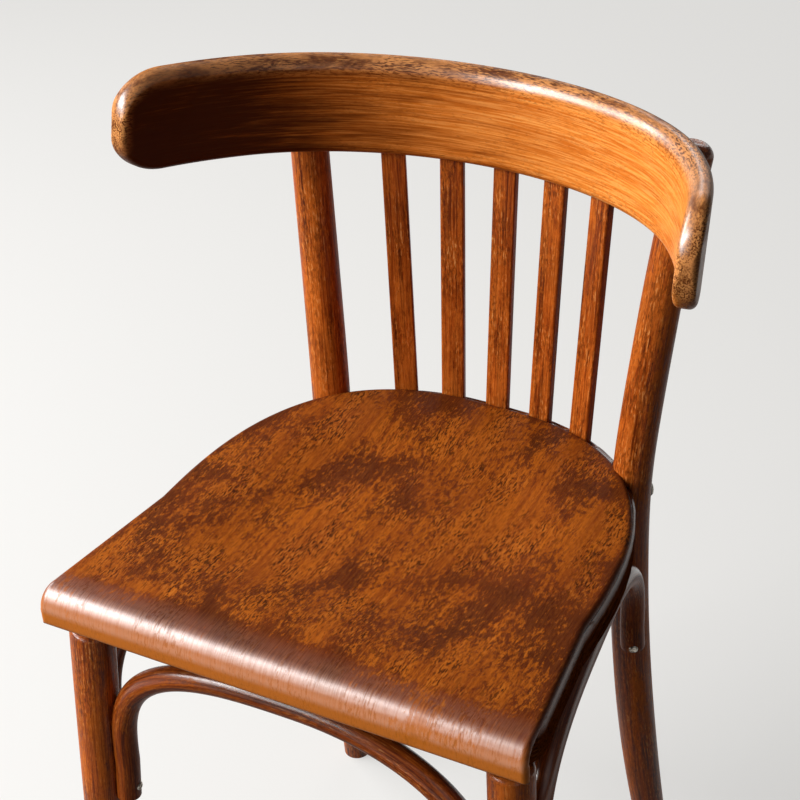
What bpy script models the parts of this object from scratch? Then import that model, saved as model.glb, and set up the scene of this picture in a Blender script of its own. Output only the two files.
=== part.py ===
"""Bentwood chair: round bent posts, a wide curved top rail, five slats and a moulded plywood seat.

The chair faces -Y, its left side is -X as the maker looks at the front, and the floor is Z = 0.
All sizes are in metres.
"""
import bpy
import bmesh
from math import asin, cos, pi, radians, sin, sqrt, tan
from mathutils import Matrix, Vector

# Joints and small gaps
CLEARANCE = 0.0003
SURFACE_GAP = 0.0005
SHOULDER_GAP = 0.001
TENON_STEP = 0.00005

# Seat panel: moulded plywood with a rolled front edge
SEAT_HEIGHT = 0.4692
SEAT_TILT = radians(1.66)
SEAT_THICKNESS = 0.009
SEAT_FRONT_HALF_WIDTH = 0.197
SEAT_SIDE_HALF_WIDTH = 0.1785
SEAT_FRONT_Y = -0.203
SEAT_CURVE_START_Y = -0.0594
SEAT_BACK_Y = 0.168
SEAT_CURVE_EXPONENT = 2.6
LIP_RADIUS = 0.016
LIP_DROP = 0.0325
LIP_LEAN = 0.0015
SEAT_EDGE_ROUND = 0.0026
DISH_DEPTH = 0.008
DISH_RIM = 0.030
DISH_RUN = 0.075

# Seat hoop: the bent frame under the panel
HOOP_INSET = 0.001
HOOP_WIDTH = 0.026
HOOP_HEIGHT = 0.0345
HOOP_FRONT_Y = -0.187
HOOP_BACK_Y = 0.184
HOOP_CORNER_RADIUS = 0.032
HOOP_INNER_CORNER = 0.006
HOOP_EDGE_ROUND = 0.003

# Front legs
FRONT_LEG_TOP = (0.1725, -0.1745)
FRONT_LEG_FOOT = (0.1874, -0.1924)
FRONT_LEG_TOP_DIAMETER = 0.0345
FRONT_LEG_FOOT_DIAMETER = 0.025
FRONT_LEG_TAPER_POWER = 1.6
FRONT_LEG_SHOULDER_ROUND = 0.004
TENON_DIAMETER = 0.016
TENON_LENGTH = 0.026

# Back posts, which are the rear legs too
POST_AT_SEAT = (0.1335, 0.1325)
POST_SLOPE_OUT = 0.0943
POST_SLOPE_BACK = 0.1006
POST_BEND_LENGTH = 0.045
POST_FOOT_OUT = 0.0224
POST_FOOT_BACK = 0.048
POST_TOP_Z = 0.743
POST_TOP_BEND_Z = 0.600
POST_TOP_OUT = 0.0025
POST_TOP_BACK = 0.0047
POST_TOP_DIAMETER = 0.0300
POST_SEAT_DIAMETER = 0.0317
POST_FOOT_DIAMETER = 0.0245
POST_TAPER_START_Z = 0.215
POST_TOP_ROUND = 0.010

# Top rail: one board bent round the sitter
RAIL_BOTTOM_Y = 0.1813
RAIL_BOTTOM_Z = 0.6743
RAIL_LEAN = radians(12.54)
RAIL_HEIGHT = 0.0767
RAIL_THICKNESS = 0.0182
RAIL_END_THICKNESS = 0.0160
RAIL_THIN_START = 0.200
RAIL_BEND_RADIUS = 0.2007
RAIL_BEND_ANGLE = radians(58.0)
RAIL_END_RADIUS = 0.358
RAIL_LEFT_LENGTH = 0.3189
RAIL_RIGHT_LENGTH = 0.3384
RAIL_CORNER_RISE = 0.0315
RAIL_TOP_CORNER = 0.0425
RAIL_BOTTOM_CORNER_LEFT = 0.042
RAIL_BOTTOM_CORNER_RIGHT = 0.032
RAIL_EDGE_ROUND = 0.0055
RAIL_LEAST_ROUND = 0.0006

# Slats
SLAT_COUNT = 5
SLAT_WIDTH = 0.0192
SLAT_THICKNESS = 0.008
SLAT_SEAT_SPACING = 0.0388
SLAT_RAIL_SPACING = 0.0446
SLAT_SEAT_TENON = 0.014
SLAT_RAIL_TENON = 0.010
SLAT_EDGE_ROUND = 0.0016
SLAT_TURN_SHARE = 0.9

# Bows: round bent braces
BOW_DIAMETER = 0.020
FRONT_BOW_LEFT_EXPONENT = 2.94
FRONT_BOW_RIGHT_EXPONENT = 2.19
SIDE_BOW_EXPONENT = 2.9
SIDE_BOW_CROWN_SHARE = 0.35
BOW_RUN_TOP_Z = 0.320
BOW_FRONT_END_Z = 0.262
BOW_REAR_END_Z = 0.296
FRONT_BOW_RUN_TOP_Z = 0.3007
FRONT_BOW_BACK = 0.0033
FRONT_BOW_DROP = 0.002
FRONT_BOW_LET_IN = 0.0046
SIDE_BOW_LET_IN = 0.0015
SIDE_BOW_FRONT_SWING = radians(13)
SIDE_BOW_REAR_SWING = radians(27)

# Screws and bolts
SCREW_HEAD_DIAMETER = 0.008
SCREW_HEAD_HEIGHT = 0.0026
SCREW_SHANK_DIAMETER = 0.004
SCREW_LENGTH = 0.028
SCREW_SINK = 0.0012
FRONT_BOW_SCREW_X = 0.066
BOW_SCREW_DROP = 0.006
SCREW_RECESS = 0.010
RAIL_SCREW_LENGTH = 0.036
POST_ALONG_RAIL = 0.169
RAIL_SCREW_HEIGHTS = (0.020, 0.042)
SEAT_SCREW_LENGTH = 0.024
SEAT_SCREW_RECESS = 0.0165
SEAT_SCREW_ACCESS = 0.040
SEAT_SCREW_PLACES = (-0.035, 0.105)
BOLT_DIAMETER = 0.006
BOLT_HEAD_DIAMETER = 0.016
BOLT_HEAD_HEIGHT = 0.0045
NUT_ACROSS_FLATS = 0.010
NUT_HEIGHT = 0.005
NUT_SINK = 0.0015
BOLT_PAST_NUT = 0.002
BOLT_RECESS = 0.020

# Facet counts
SEAT_COLUMNS = 20
SEAT_BACK_ROWS = 12
SEAT_SIDE_ROWS = 6
LIP_ROWS = 5
HOOP_BACK_STEPS = 16
RAIL_STEPS = 44
CORNER_STEPS = 7
POST_SIDES = 20
BOW_SIDES = 14
BOW_STEPS = 26
SCREW_SIDES = 12


def material(name, colour, roughness, metallic=0.0):
    made = bpy.data.materials.new(name)
    made.use_nodes = True
    shader = made.node_tree.nodes["Principled BSDF"]
    shader.inputs["Base Color"].default_value = (*colour, 1.0)
    shader.inputs["Roughness"].default_value = roughness
    shader.inputs["Metallic"].default_value = metallic
    return made


def object_from(name, mesh, finish, parent):
    made = bpy.data.objects.new(name, mesh)
    bpy.context.scene.collection.objects.link(made)
    made.data.materials.append(finish)
    made.parent = parent
    return made


def cutter_from(name, meshes, parent):
    """Joins closed shapes that don't touch each other into one cutting object."""
    joined = bmesh.new()
    for mesh in meshes:
        joined.from_mesh(mesh)
    mesh = bpy.data.meshes.new(name)
    joined.to_mesh(mesh)
    joined.free()
    made = bpy.data.objects.new(name, mesh)
    bpy.context.scene.collection.objects.link(made)
    made.hide_render = True
    made.display_type = "WIRE"
    made.parent = parent
    return made


def cut(target, name, meshes, parent):
    cutter = cutter_from(name, meshes, parent)
    boolean = target.modifiers.new(name, "BOOLEAN")
    boolean.operation = "DIFFERENCE"
    boolean.solver = "EXACT"
    boolean.object = cutter


def finish_mesh(name, bm, sharp_angle=radians(35)):
    bmesh.ops.recalc_face_normals(bm, faces=bm.faces)
    mesh = bpy.data.meshes.new(name)
    bm.to_mesh(mesh)
    bm.free()
    mesh.shade_smooth()
    mesh.set_sharp_from_angle(angle=sharp_angle)
    return mesh


def loft(name, rings):
    """Closed body through rings that hold the same number of points."""
    bm = bmesh.new()
    rows = [[bm.verts.new(point) for point in ring] for ring in rings]
    count = len(rows[0])
    for low, high in zip(rows, rows[1:]):
        for i in range(count):
            j = (i + 1) % count
            bm.faces.new((low[i], low[j], high[j], high[i]))
    bm.faces.new(list(reversed(rows[0])))
    bm.faces.new(rows[-1])
    return finish_mesh(name, bm)


def bar(name, path, radii, sides):
    """Round bar along a path, with its own radius at each point."""
    path = [Vector(point) for point in path]
    rings = []
    across = Vector((1.0, 0.0, 0.0))
    for i, centre in enumerate(path):
        along = (path[min(i + 1, len(path) - 1)] - path[max(i - 1, 0)]).normalized()
        across = (across - along * across.dot(along)).normalized()
        other = along.cross(across)
        turns = [2 * pi * k / sides for k in range(sides)]
        rings.append([centre + (across * cos(a) + other * sin(a)) * radii[i] for a in turns])
    return loft(name, rings)


def turned(name, start, direction, profile, sides=SCREW_SIDES):
    """Turned body from (distance along the axis, radius) pairs, ends first and last."""
    turn = direction.normalized().to_track_quat("Z", "Y")
    rings = []
    for along, radius in profile:
        ring = []
        for k in range(sides):
            a = 2 * pi * k / sides
            ring.append(start + turn @ Vector((radius * cos(a), radius * sin(a), along)))
        rings.append(ring)
    return loft(name, rings)


def cut_at_floor(mesh):
    """Trims a leg flat where it stands on the floor."""
    bm = bmesh.new()
    bm.from_mesh(mesh)
    geometry = bm.verts[:] + bm.edges[:] + bm.faces[:]
    done = bmesh.ops.bisect_plane(bm, geom=geometry, plane_co=(0, 0, 0), plane_no=(0, 0, 1),
                                  clear_inner=True)
    rim = [item for item in done["geom_cut"] if isinstance(item, bmesh.types.BMEdge)]
    bmesh.ops.contextual_create(bm, geom=rim)
    bmesh.ops.recalc_face_normals(bm, faces=bm.faces)
    bm.to_mesh(mesh)
    bm.free()
    mesh.shade_smooth()
    mesh.set_sharp_from_angle(angle=radians(35))


# Seat plan and plane

SEAT_PLACE = Matrix.Translation((0, 0, SEAT_HEIGHT)) @ Matrix.Rotation(-SEAT_TILT, 4, "X")


def seat_world(x, y, z):
    """World point from the seat's own frame, where Z = 0 is the top of the panel."""
    return SEAT_PLACE @ Vector((x, y, z))


def plan_half_width(y, inset=0.0, back_y=SEAT_BACK_Y):
    """Half the plan's width at y: straight sides, then one round back."""
    if y <= SEAT_CURVE_START_Y:
        share = (y - SEAT_FRONT_Y) / (SEAT_CURVE_START_Y - SEAT_FRONT_Y)
        return SEAT_FRONT_HALF_WIDTH + (SEAT_SIDE_HALF_WIDTH - SEAT_FRONT_HALF_WIDTH) * share - inset
    share = min((y - SEAT_CURVE_START_Y) / (back_y - SEAT_CURVE_START_Y), 1.0)
    return (SEAT_SIDE_HALF_WIDTH - inset) * (1 - share ** SEAT_CURVE_EXPONENT) ** (1 / SEAT_CURVE_EXPONENT)


def plan_back_y(x, inset=0.0, back_y=SEAT_BACK_Y):
    """The round back's y at x."""
    share = min(abs(x) / (SEAT_SIDE_HALF_WIDTH - inset), 1.0)
    rise = (1 - share ** SEAT_CURVE_EXPONENT) ** (1 / SEAT_CURVE_EXPONENT)
    return SEAT_CURVE_START_Y + (back_y - SEAT_CURVE_START_Y) * rise


def back_rows(inset, back_y, steps, last_turn):
    """Half widths and y values round the back, evenly spread round the curve."""
    rows = []
    for i in range(1, steps + 1):
        a = last_turn * i / steps
        x = (SEAT_SIDE_HALF_WIDTH - inset) * cos(a) ** (2 / SEAT_CURVE_EXPONENT)
        y = SEAT_CURVE_START_Y + (back_y - SEAT_CURVE_START_Y) * sin(a) ** (2 / SEAT_CURVE_EXPONENT)
        rows.append((x, y))
    return rows


def smooth(value):
    value = min(max(value, 0.0), 1.0)
    return value * value * (3 - 2 * value)


def dish(x, y, half_width):
    side = smooth((half_width - abs(x) - DISH_RIM) / DISH_RUN)
    back = smooth((plan_back_y(x) - y - DISH_RIM) / DISH_RUN)
    front = smooth((y - SEAT_FRONT_Y - LIP_RADIUS - DISH_RIM) / DISH_RUN)
    return -DISH_DEPTH * side * back * front


def seat_panel_mesh():
    rows = [(SEAT_FRONT_Y + LIP_LEAN, -LIP_DROP, SEAT_FRONT_HALF_WIDTH)]
    roll_y = SEAT_FRONT_Y + LIP_RADIUS
    for i in range(LIP_ROWS + 1):
        a = pi / 2 * i / LIP_ROWS
        y = roll_y - LIP_RADIUS * cos(a)
        rows.append((y, LIP_RADIUS * (sin(a) - 1), plan_half_width(y)))
    for i in range(1, SEAT_SIDE_ROWS + 1):
        y = roll_y + (SEAT_CURVE_START_Y - roll_y) * i / SEAT_SIDE_ROWS
        rows.append((y, 0.0, plan_half_width(y)))
    for half_width, y in back_rows(0.0, SEAT_BACK_Y, SEAT_BACK_ROWS, radians(87)):
        rows.append((y, 0.0, half_width))
    bm = bmesh.new()
    grid = []
    for y, z, half_width in rows:
        line = []
        for k in range(SEAT_COLUMNS + 1):
            x = half_width * sin(pi / 2 * (2 * k / SEAT_COLUMNS - 1))
            height = z + dish(x, y, half_width) if z == 0.0 else z
            line.append(bm.verts.new((x, y, height)))
        grid.append(line)
    for near, far in zip(grid, grid[1:]):
        for k in range(SEAT_COLUMNS):
            bm.faces.new((near[k], near[k + 1], far[k + 1], far[k]))
    mesh = bpy.data.meshes.new("seat_panel")
    bm.to_mesh(mesh)
    bm.free()
    mesh.shade_smooth()
    return mesh


def hoop_outline(inset, corner):
    """Right half of the hoop's plan, front middle to back middle."""
    front = HOOP_FRONT_Y + inset - HOOP_INSET
    corner_y = front + corner
    corner_x = plan_half_width(corner_y, inset) - corner
    points = [(0.0, front), (corner_x / 2, front)]
    for i in range(CORNER_STEPS):
        a = pi / 2 * i / (CORNER_STEPS - 1)
        points.append((corner_x + corner * sin(a), corner_y - corner * cos(a)))
    for i in range(1, 4):
        y = corner_y + (SEAT_CURVE_START_Y - corner_y) * i / 3
        points.append((plan_half_width(y, inset), y))
    points += back_rows(inset, HOOP_BACK_Y + HOOP_INSET - inset, HOOP_BACK_STEPS, pi / 2)
    points[-1] = (0.0, points[-1][1])
    return points


def hoop_mesh():
    outer = hoop_outline(HOOP_INSET, HOOP_CORNER_RADIUS)
    inner = hoop_outline(HOOP_INSET + HOOP_WIDTH, HOOP_INNER_CORNER)
    outer += [(-x, y) for x, y in reversed(outer[1:-1])]
    inner += [(-x, y) for x, y in reversed(inner[1:-1])]
    top = -SEAT_THICKNESS - CLEARANCE
    bottom = top - HOOP_HEIGHT
    bm = bmesh.new()
    loops = [[bm.verts.new((x, y, z)) for x, y in outline]
             for outline, z in ((outer, top), (outer, bottom), (inner, bottom), (inner, top))]
    count = len(outer)
    for one, two in zip(loops, loops[1:] + loops[:1]):
        for i in range(count):
            j = (i + 1) % count
            bm.faces.new((one[i], one[j], two[j], two[i]))
    return finish_mesh("seat_hoop", bm)


# Legs and posts

def hoop_bottom_z(y):
    return seat_world(0, y, -SEAT_THICKNESS - CLEARANCE - HOOP_HEIGHT).z


FRONT_LEG_TOP_Z = hoop_bottom_z(FRONT_LEG_TOP[1]) - SHOULDER_GAP - CLEARANCE
POST_SEAT_Z = SEAT_HEIGHT - POST_AT_SEAT[1] * tan(SEAT_TILT)


def front_leg_axis(side, z):
    share = (FRONT_LEG_TOP_Z - z) / FRONT_LEG_TOP_Z
    x = FRONT_LEG_TOP[0] + (FRONT_LEG_FOOT[0] - FRONT_LEG_TOP[0]) * share
    y = FRONT_LEG_TOP[1] + (FRONT_LEG_FOOT[1] - FRONT_LEG_TOP[1]) * share
    return Vector((side * x, y, z))


def front_leg_radius(z):
    share = (FRONT_LEG_TOP_Z - z) / FRONT_LEG_TOP_Z
    taper = share ** FRONT_LEG_TAPER_POWER
    return (FRONT_LEG_TOP_DIAMETER + (FRONT_LEG_FOOT_DIAMETER - FRONT_LEG_TOP_DIAMETER) * taper) / 2


def front_leg_mesh(side, grow=0.0):
    round_z = FRONT_LEG_TOP_Z - FRONT_LEG_SHOULDER_ROUND
    path = [front_leg_axis(side, FRONT_LEG_TOP_Z + TENON_LENGTH), front_leg_axis(side, FRONT_LEG_TOP_Z)]
    radii = [TENON_DIAMETER / 2, TENON_DIAMETER / 2]
    for turn in (0, 30, 60):
        drop = FRONT_LEG_SHOULDER_ROUND * (1 - cos(radians(turn)))
        path.append(front_leg_axis(side, FRONT_LEG_TOP_Z - drop - TENON_STEP))
        radii.append(front_leg_radius(round_z) - FRONT_LEG_SHOULDER_ROUND * (1 - sin(radians(turn))))
    for i in range(7):
        z = round_z * (1 - i / 6)
        path.append(front_leg_axis(side, z))
        radii.append(front_leg_radius(z))
    path.append(front_leg_axis(side, -FRONT_LEG_FOOT_DIAMETER))
    radii.append(front_leg_radius(0))
    mesh = bar("front_leg", path, [radius + grow for radius in radii], POST_SIDES)
    if grow == 0.0:
        cut_at_floor(mesh)
    return mesh


def tenon_hole_mesh(side):
    axis = front_leg_axis(side, FRONT_LEG_TOP_Z + TENON_LENGTH) - front_leg_axis(side, FRONT_LEG_TOP_Z)
    start = front_leg_axis(side, FRONT_LEG_TOP_Z) - axis * 0.2
    radius = TENON_DIAMETER / 2 + CLEARANCE
    return turned("tenon_hole", start, axis, [(0, radius), (axis.length * 1.2 + CLEARANCE, radius)],
                  POST_SIDES)


def post_axis(side, z):
    """One smooth line: bent back above the seat and again at the top, swept out and back below it."""
    above = z - POST_SEAT_Z
    ramp = (above + sqrt(above * above + POST_BEND_LENGTH ** 2)) / 2
    below = max(-above, 0.0) / POST_SEAT_Z
    top = max(z - POST_TOP_BEND_Z, 0.0) / (POST_TOP_Z - POST_TOP_BEND_Z)
    x = POST_AT_SEAT[0] + POST_SLOPE_OUT * ramp + POST_FOOT_OUT * below ** 2 + POST_TOP_OUT * top ** 2
    y = POST_AT_SEAT[1] + POST_SLOPE_BACK * ramp + POST_FOOT_BACK * below ** 2 + POST_TOP_BACK * top ** 2
    return Vector((side * x, y, z))


def post_radius(z):
    if z > POST_SEAT_Z:
        share = (z - POST_SEAT_Z) / (POST_TOP_Z - POST_SEAT_Z)
        return (POST_SEAT_DIAMETER + (POST_TOP_DIAMETER - POST_SEAT_DIAMETER) * share) / 2
    share = smooth((POST_TAPER_START_Z - z) / POST_TAPER_START_Z * 0.5) * 2
    return (POST_SEAT_DIAMETER + (POST_FOOT_DIAMETER - POST_SEAT_DIAMETER) * share) / 2


def post_mesh(side, grow=0.0):
    low = -POST_FOOT_DIAMETER
    shoulder = POST_TOP_Z - POST_TOP_ROUND
    heights = [low + (POST_SEAT_Z - low) * i / 13 for i in range(13)]
    heights += [POST_SEAT_Z + (shoulder - POST_SEAT_Z) * (i / 7) ** 1.3 for i in range(8)]
    path = [post_axis(side, z) for z in heights]
    radii = [post_radius(z) + grow for z in heights]
    for turn in (30, 60, 85):
        path.append(post_axis(side, shoulder + POST_TOP_ROUND * sin(radians(turn))))
        shrink = POST_TOP_ROUND * (1 - cos(radians(turn)))
        radii.append(post_radius(shoulder) + grow - shrink)
    mesh = bar("back_post", path, radii, POST_SIDES)
    if grow == 0.0:
        cut_at_floor(mesh)
    return mesh


# Top rail

RAIL_PLACE = Matrix.Translation((0, RAIL_BOTTOM_Y, RAIL_BOTTOM_Z)) @ Matrix.Rotation(-RAIL_LEAN, 4, "X")


def rail_station(distance):
    """Inner face's plan point and turn at a distance from the middle."""
    side = 1 if distance >= 0 else -1
    turn = min(abs(distance) / RAIL_BEND_RADIUS, RAIL_BEND_ANGLE)
    x = RAIL_BEND_RADIUS * sin(turn)
    y = -RAIL_BEND_RADIUS * (1 - cos(turn))
    rest = abs(distance) - RAIL_BEND_RADIUS * RAIL_BEND_ANGLE
    if rest > 0:
        last = turn + rest / RAIL_END_RADIUS
        x += RAIL_END_RADIUS * (sin(last) - sin(turn))
        y -= RAIL_END_RADIUS * (cos(turn) - cos(last))
        turn = last
    return side * x, y, side * turn


def rail_point(distance, depth, height):
    """Point in the rail's own frame: depth from the inner face, height from the lower edge."""
    x, y, turn = rail_station(distance)
    return Vector((x + depth * sin(turn), y + depth * cos(turn), height))


def rounded_section(low, high, near, far, radius, steps=3):
    """Rounded rectangle as (depth, height) pairs."""
    points = []
    corners = ((near + radius, low + radius, pi), (far - radius, low + radius, 1.5 * pi),
               (far - radius, high - radius, 0.0), (near + radius, high - radius, 0.5 * pi))
    for across, up, start in corners:
        for i in range(steps + 1):
            a = start + pi / 2 * i / steps
            points.append((across + radius * cos(a), up + radius * sin(a)))
    return points


def rail_reach(distance):
    """The board was fixed a little off its middle, so its right end is longer."""
    return RAIL_RIGHT_LENGTH if distance > 0 else RAIL_LEFT_LENGTH


def rail_thickness(distance):
    """The board is thinned a little towards its ends."""
    share = smooth((abs(distance) - RAIL_THIN_START) / (rail_reach(distance) - RAIL_THIN_START))
    return RAIL_THICKNESS + (RAIL_END_THICKNESS - RAIL_THICKNESS) * share


def rail_distances(reach, grow):
    """Stations along one half of the board, closer together where its end is rounded."""
    edge = RAIL_EDGE_ROUND
    end = reach + grow
    flat = reach - RAIL_TOP_CORNER
    distances = [flat * i / (RAIL_STEPS / 2) for i in range(1, RAIL_STEPS // 2)]
    for i in range(CORNER_STEPS):
        distances.append(flat + (end - edge - flat) * sin(pi / 2 * i / CORNER_STEPS))
    for turn in (0, 25, 50, 70, 85):
        distances.append(end - edge + edge * sin(radians(turn)))
    return distances


def corner_drop(distance, length):
    """How far an end's corner has curved in, a quarter of an ellipse."""
    into = (abs(distance) - (rail_reach(distance) - length)) / length
    return RAIL_CORNER_RISE * (1 - sqrt(1 - min(max(into, 0.0), 1.0) ** 2))


def rail_mesh(name="top_rail", grow=0.0):
    edge = RAIL_EDGE_ROUND
    distances = [-d for d in reversed(rail_distances(RAIL_LEFT_LENGTH, grow))] + [0.0]
    distances += rail_distances(RAIL_RIGHT_LENGTH, grow)
    rings = []
    for distance in distances:
        into = max(abs(distance) - (rail_reach(distance) + grow - edge), 0.0)
        inset = edge - sqrt(max(edge ** 2 - into ** 2, 0.0)) - grow
        bottom_corner = RAIL_BOTTOM_CORNER_RIGHT if distance > 0 else RAIL_BOTTOM_CORNER_LEFT
        low = corner_drop(distance, bottom_corner) + inset
        high = RAIL_HEIGHT - corner_drop(distance, RAIL_TOP_CORNER) - inset
        radius = max(edge - max(inset, 0.0), RAIL_LEAST_ROUND)
        section = rounded_section(low, high, inset, rail_thickness(distance) - inset, radius)
        rings.append([rail_point(distance, depth, height) for depth, height in section])
    return loft(name, rings)


# Slats

def slat_ends(index):
    """Seat end, rail end and the way the slat's width runs."""
    step = index - (SLAT_COUNT - 1) / 2
    seat_x = step * SLAT_SEAT_SPACING
    seat_y = plan_back_y(seat_x) + SLAT_THICKNESS / 2 + SURFACE_GAP
    low = seat_world(seat_x, seat_y, -SEAT_THICKNESS - CLEARANCE - SLAT_SEAT_TENON)
    middle_radius = RAIL_BEND_RADIUS + RAIL_THICKNESS / 2
    rail_turn = asin(step * SLAT_RAIL_SPACING / middle_radius)
    high = RAIL_PLACE @ rail_point(rail_turn * RAIL_BEND_RADIUS, RAIL_THICKNESS / 2, SLAT_RAIL_TENON)
    return low, high, rail_turn * SLAT_TURN_SHARE


def slat_mesh(index, grow=0.0):
    low, high, turn = slat_ends(index)
    along = (high - low).normalized()
    low = low - along * grow
    high = high + along * grow
    wide = Vector((cos(turn), -sin(turn), 0))
    wide = (wide - along * wide.dot(along)).normalized()
    deep = along.cross(wide)
    half_width = SLAT_WIDTH / 2 + grow
    half_depth = SLAT_THICKNESS / 2 + grow
    section = rounded_section(-half_depth, half_depth, -half_width, half_width, SLAT_EDGE_ROUND, 1)
    rings = [[centre + wide * a + deep * b for a, b in section] for centre in (low, high)]
    return loft("slat", rings)


# Bows

def leg_contact(axis, radius, side, away, let_in, z):
    """Centre of a bow beside a leg, away from it in plan; the leg is let into the bow a little."""
    reach = radius(z) + BOW_DIAMETER / 2 - let_in
    centre = axis(side, z)
    return Vector((centre.x + away[0] * reach, centre.y + away[1] * reach, z))


def bow_path(contact_a, contact_b, end_a, end_b, run_top, crown_z, exponent_a, exponent_b):
    """Run up one leg, flat arch across, run down the other leg; each half has its own roundness."""
    a = contact_a(run_top)
    b = contact_b(run_top)
    path = [contact_a(end_a), contact_a((end_a + run_top) / 2)]
    for i in range(BOW_STEPS + 1):
        turn = pi * i / BOW_STEPS
        exponent = exponent_a if i * 2 < BOW_STEPS else exponent_b
        reach = abs(cos(turn)) ** (2 / exponent) * (1 if cos(turn) >= 0 else -1)
        rise = abs(sin(turn)) ** (2 / exponent)
        point = a.lerp(b, (1 - reach) / 2)
        point.z = run_top + (crown_z - run_top) * rise
        path.append(point)
    path += [contact_b((end_b + run_top) / 2), contact_b(end_b)]
    return path


def front_bow_contact(side):
    def contact(z):
        centre = leg_contact(front_leg_axis, front_leg_radius, side, (-side, 0), FRONT_BOW_LET_IN, z)
        return centre + Vector((0, FRONT_BOW_BACK, 0))
    return contact


def side_bow_front_contact(side):
    away = (side * sin(SIDE_BOW_FRONT_SWING), cos(SIDE_BOW_FRONT_SWING))
    return lambda z: leg_contact(front_leg_axis, front_leg_radius, side, away, SIDE_BOW_LET_IN, z)


def side_bow_rear_contact(side):
    away = (side * sin(SIDE_BOW_REAR_SWING), -cos(SIDE_BOW_REAR_SWING))
    return lambda z: leg_contact(post_axis, post_radius, side, away, SIDE_BOW_LET_IN, z)


def front_bow_path():
    y = front_bow_contact(1)(FRONT_BOW_RUN_TOP_Z).y
    crown = hoop_bottom_z(y) - BOW_DIAMETER / 2 - CLEARANCE - FRONT_BOW_DROP
    return bow_path(front_bow_contact(-1), front_bow_contact(1), BOW_FRONT_END_Z, BOW_FRONT_END_Z,
                    FRONT_BOW_RUN_TOP_Z, crown, FRONT_BOW_LEFT_EXPONENT, FRONT_BOW_RIGHT_EXPONENT)


def side_bow_path(side):
    front = side_bow_front_contact(side)
    rear = side_bow_rear_contact(side)
    middle_y = (front(BOW_RUN_TOP_Z).y + rear(BOW_RUN_TOP_Z).y) / 2
    back_share = SIDE_BOW_CROWN_SHARE * (rear(BOW_RUN_TOP_Z).y - middle_y)
    crown = hoop_bottom_z(middle_y + back_share) - BOW_DIAMETER / 2 - CLEARANCE
    return bow_path(front, rear, BOW_FRONT_END_Z, BOW_REAR_END_Z, BOW_RUN_TOP_Z, crown,
                    SIDE_BOW_EXPONENT, SIDE_BOW_EXPONENT)


# Screws, bolts and their holes

def screw_mesh(head_point, direction, length):
    """Round-headed screw whose head seats at head_point and whose shank runs along direction."""
    head = SCREW_HEAD_DIAMETER / 2
    shank = SCREW_SHANK_DIAMETER / 2
    high = SCREW_HEAD_HEIGHT
    profile = [(-high, head * 0.30), (-high * 0.85, head * 0.65), (-high * 0.5, head * 0.90),
               (0, head), (0, shank), (length - shank * 2, shank), (length, shank * 0.3)]
    return turned("screw", head_point, direction, profile)


def screw_hole_mesh(head_point, direction, length, recess):
    """Room for a screw: a round recess for the head, then a hole for the shank."""
    head = SCREW_HEAD_DIAMETER / 2 + CLEARANCE
    shank = SCREW_SHANK_DIAMETER / 2 + CLEARANCE
    profile = [(-recess, head), (CLEARANCE, head), (CLEARANCE, shank), (length + CLEARANCE, shank)]
    return turned("screw_hole", head_point, direction, profile)


def bow_end_screw(contact, leg_axis, side, end_z, run_top):
    """Head point and direction of a screw from a bow's run into its leg."""
    z = (end_z + run_top) / 2 - BOW_SCREW_DROP
    centre = contact(z)
    target = leg_axis(side, z)
    direction = (target - centre).normalized()
    return centre - direction * (BOW_DIAMETER / 2 - SCREW_SINK), direction


def front_bow_screw(side):
    """Screw up through the front bow into the hoop, with its head under the bow."""
    path = front_bow_path()
    x = side * FRONT_BOW_SCREW_X
    near = [p for p in path if p.z > FRONT_BOW_RUN_TOP_Z]
    for one, two in zip(near, near[1:]):
        if one.x <= x <= two.x:
            centre = one.lerp(two, (x - one.x) / (two.x - one.x))
    return centre - Vector((0, 0, BOW_DIAMETER / 2 - SCREW_SINK)), Vector((0, 0, 1))


def rail_screw(side, height):
    """Screw from behind a post, through it, into the top rail."""
    guess = RAIL_PLACE @ rail_point(side * POST_ALONG_RAIL, RAIL_THICKNESS, height)
    axis = post_axis(side, guess.z)
    hub = RAIL_PLACE @ Vector((0, -RAIL_BEND_RADIUS, height))
    direction = hub - axis
    direction.z = 0
    direction.normalize()
    return axis - direction * (post_radius(axis.z) - SCREW_SINK), direction


def bolt_line(side):
    """Outer seat of the post bolt's head, its direction, and the distance to the nut's seat."""
    height = hoop_bottom_z(POST_AT_SEAT[1]) + HOOP_HEIGHT / 2
    axis = post_axis(side, height)
    slope_y = plan_half_width(axis.y, HOOP_INSET, HOOP_BACK_Y)
    direction = Vector((-side * slope_y, -(axis.y - SEAT_CURVE_START_Y), 0)).normalized()
    head = axis - direction * (post_radius(height) - SCREW_SINK)
    reach = 0.0
    inner = HOOP_INSET + HOOP_WIDTH
    while True:
        point = head + direction * reach
        half_width = plan_half_width(point.y, inner, HOOP_BACK_Y + HOOP_INSET - HOOP_WIDTH)
        inside = point.y < HOOP_BACK_Y + HOOP_INSET - inner and abs(point.x) < half_width
        if inside:
            return head, direction, reach - NUT_SINK
        reach += CLEARANCE


def bolt_mesh(side):
    head, direction, nut_seat = bolt_line(side)
    wide = BOLT_HEAD_DIAMETER / 2
    shank = BOLT_DIAMETER / 2
    high = BOLT_HEAD_HEIGHT
    profile = [(-high, wide * 0.25), (-high * 0.85, wide * 0.6), (-high * 0.45, wide * 0.9), (0, wide),
               (0, shank), (nut_seat + NUT_HEIGHT + BOLT_PAST_NUT, shank)]
    return turned("post_bolt", head, direction, profile, 16)


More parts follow.
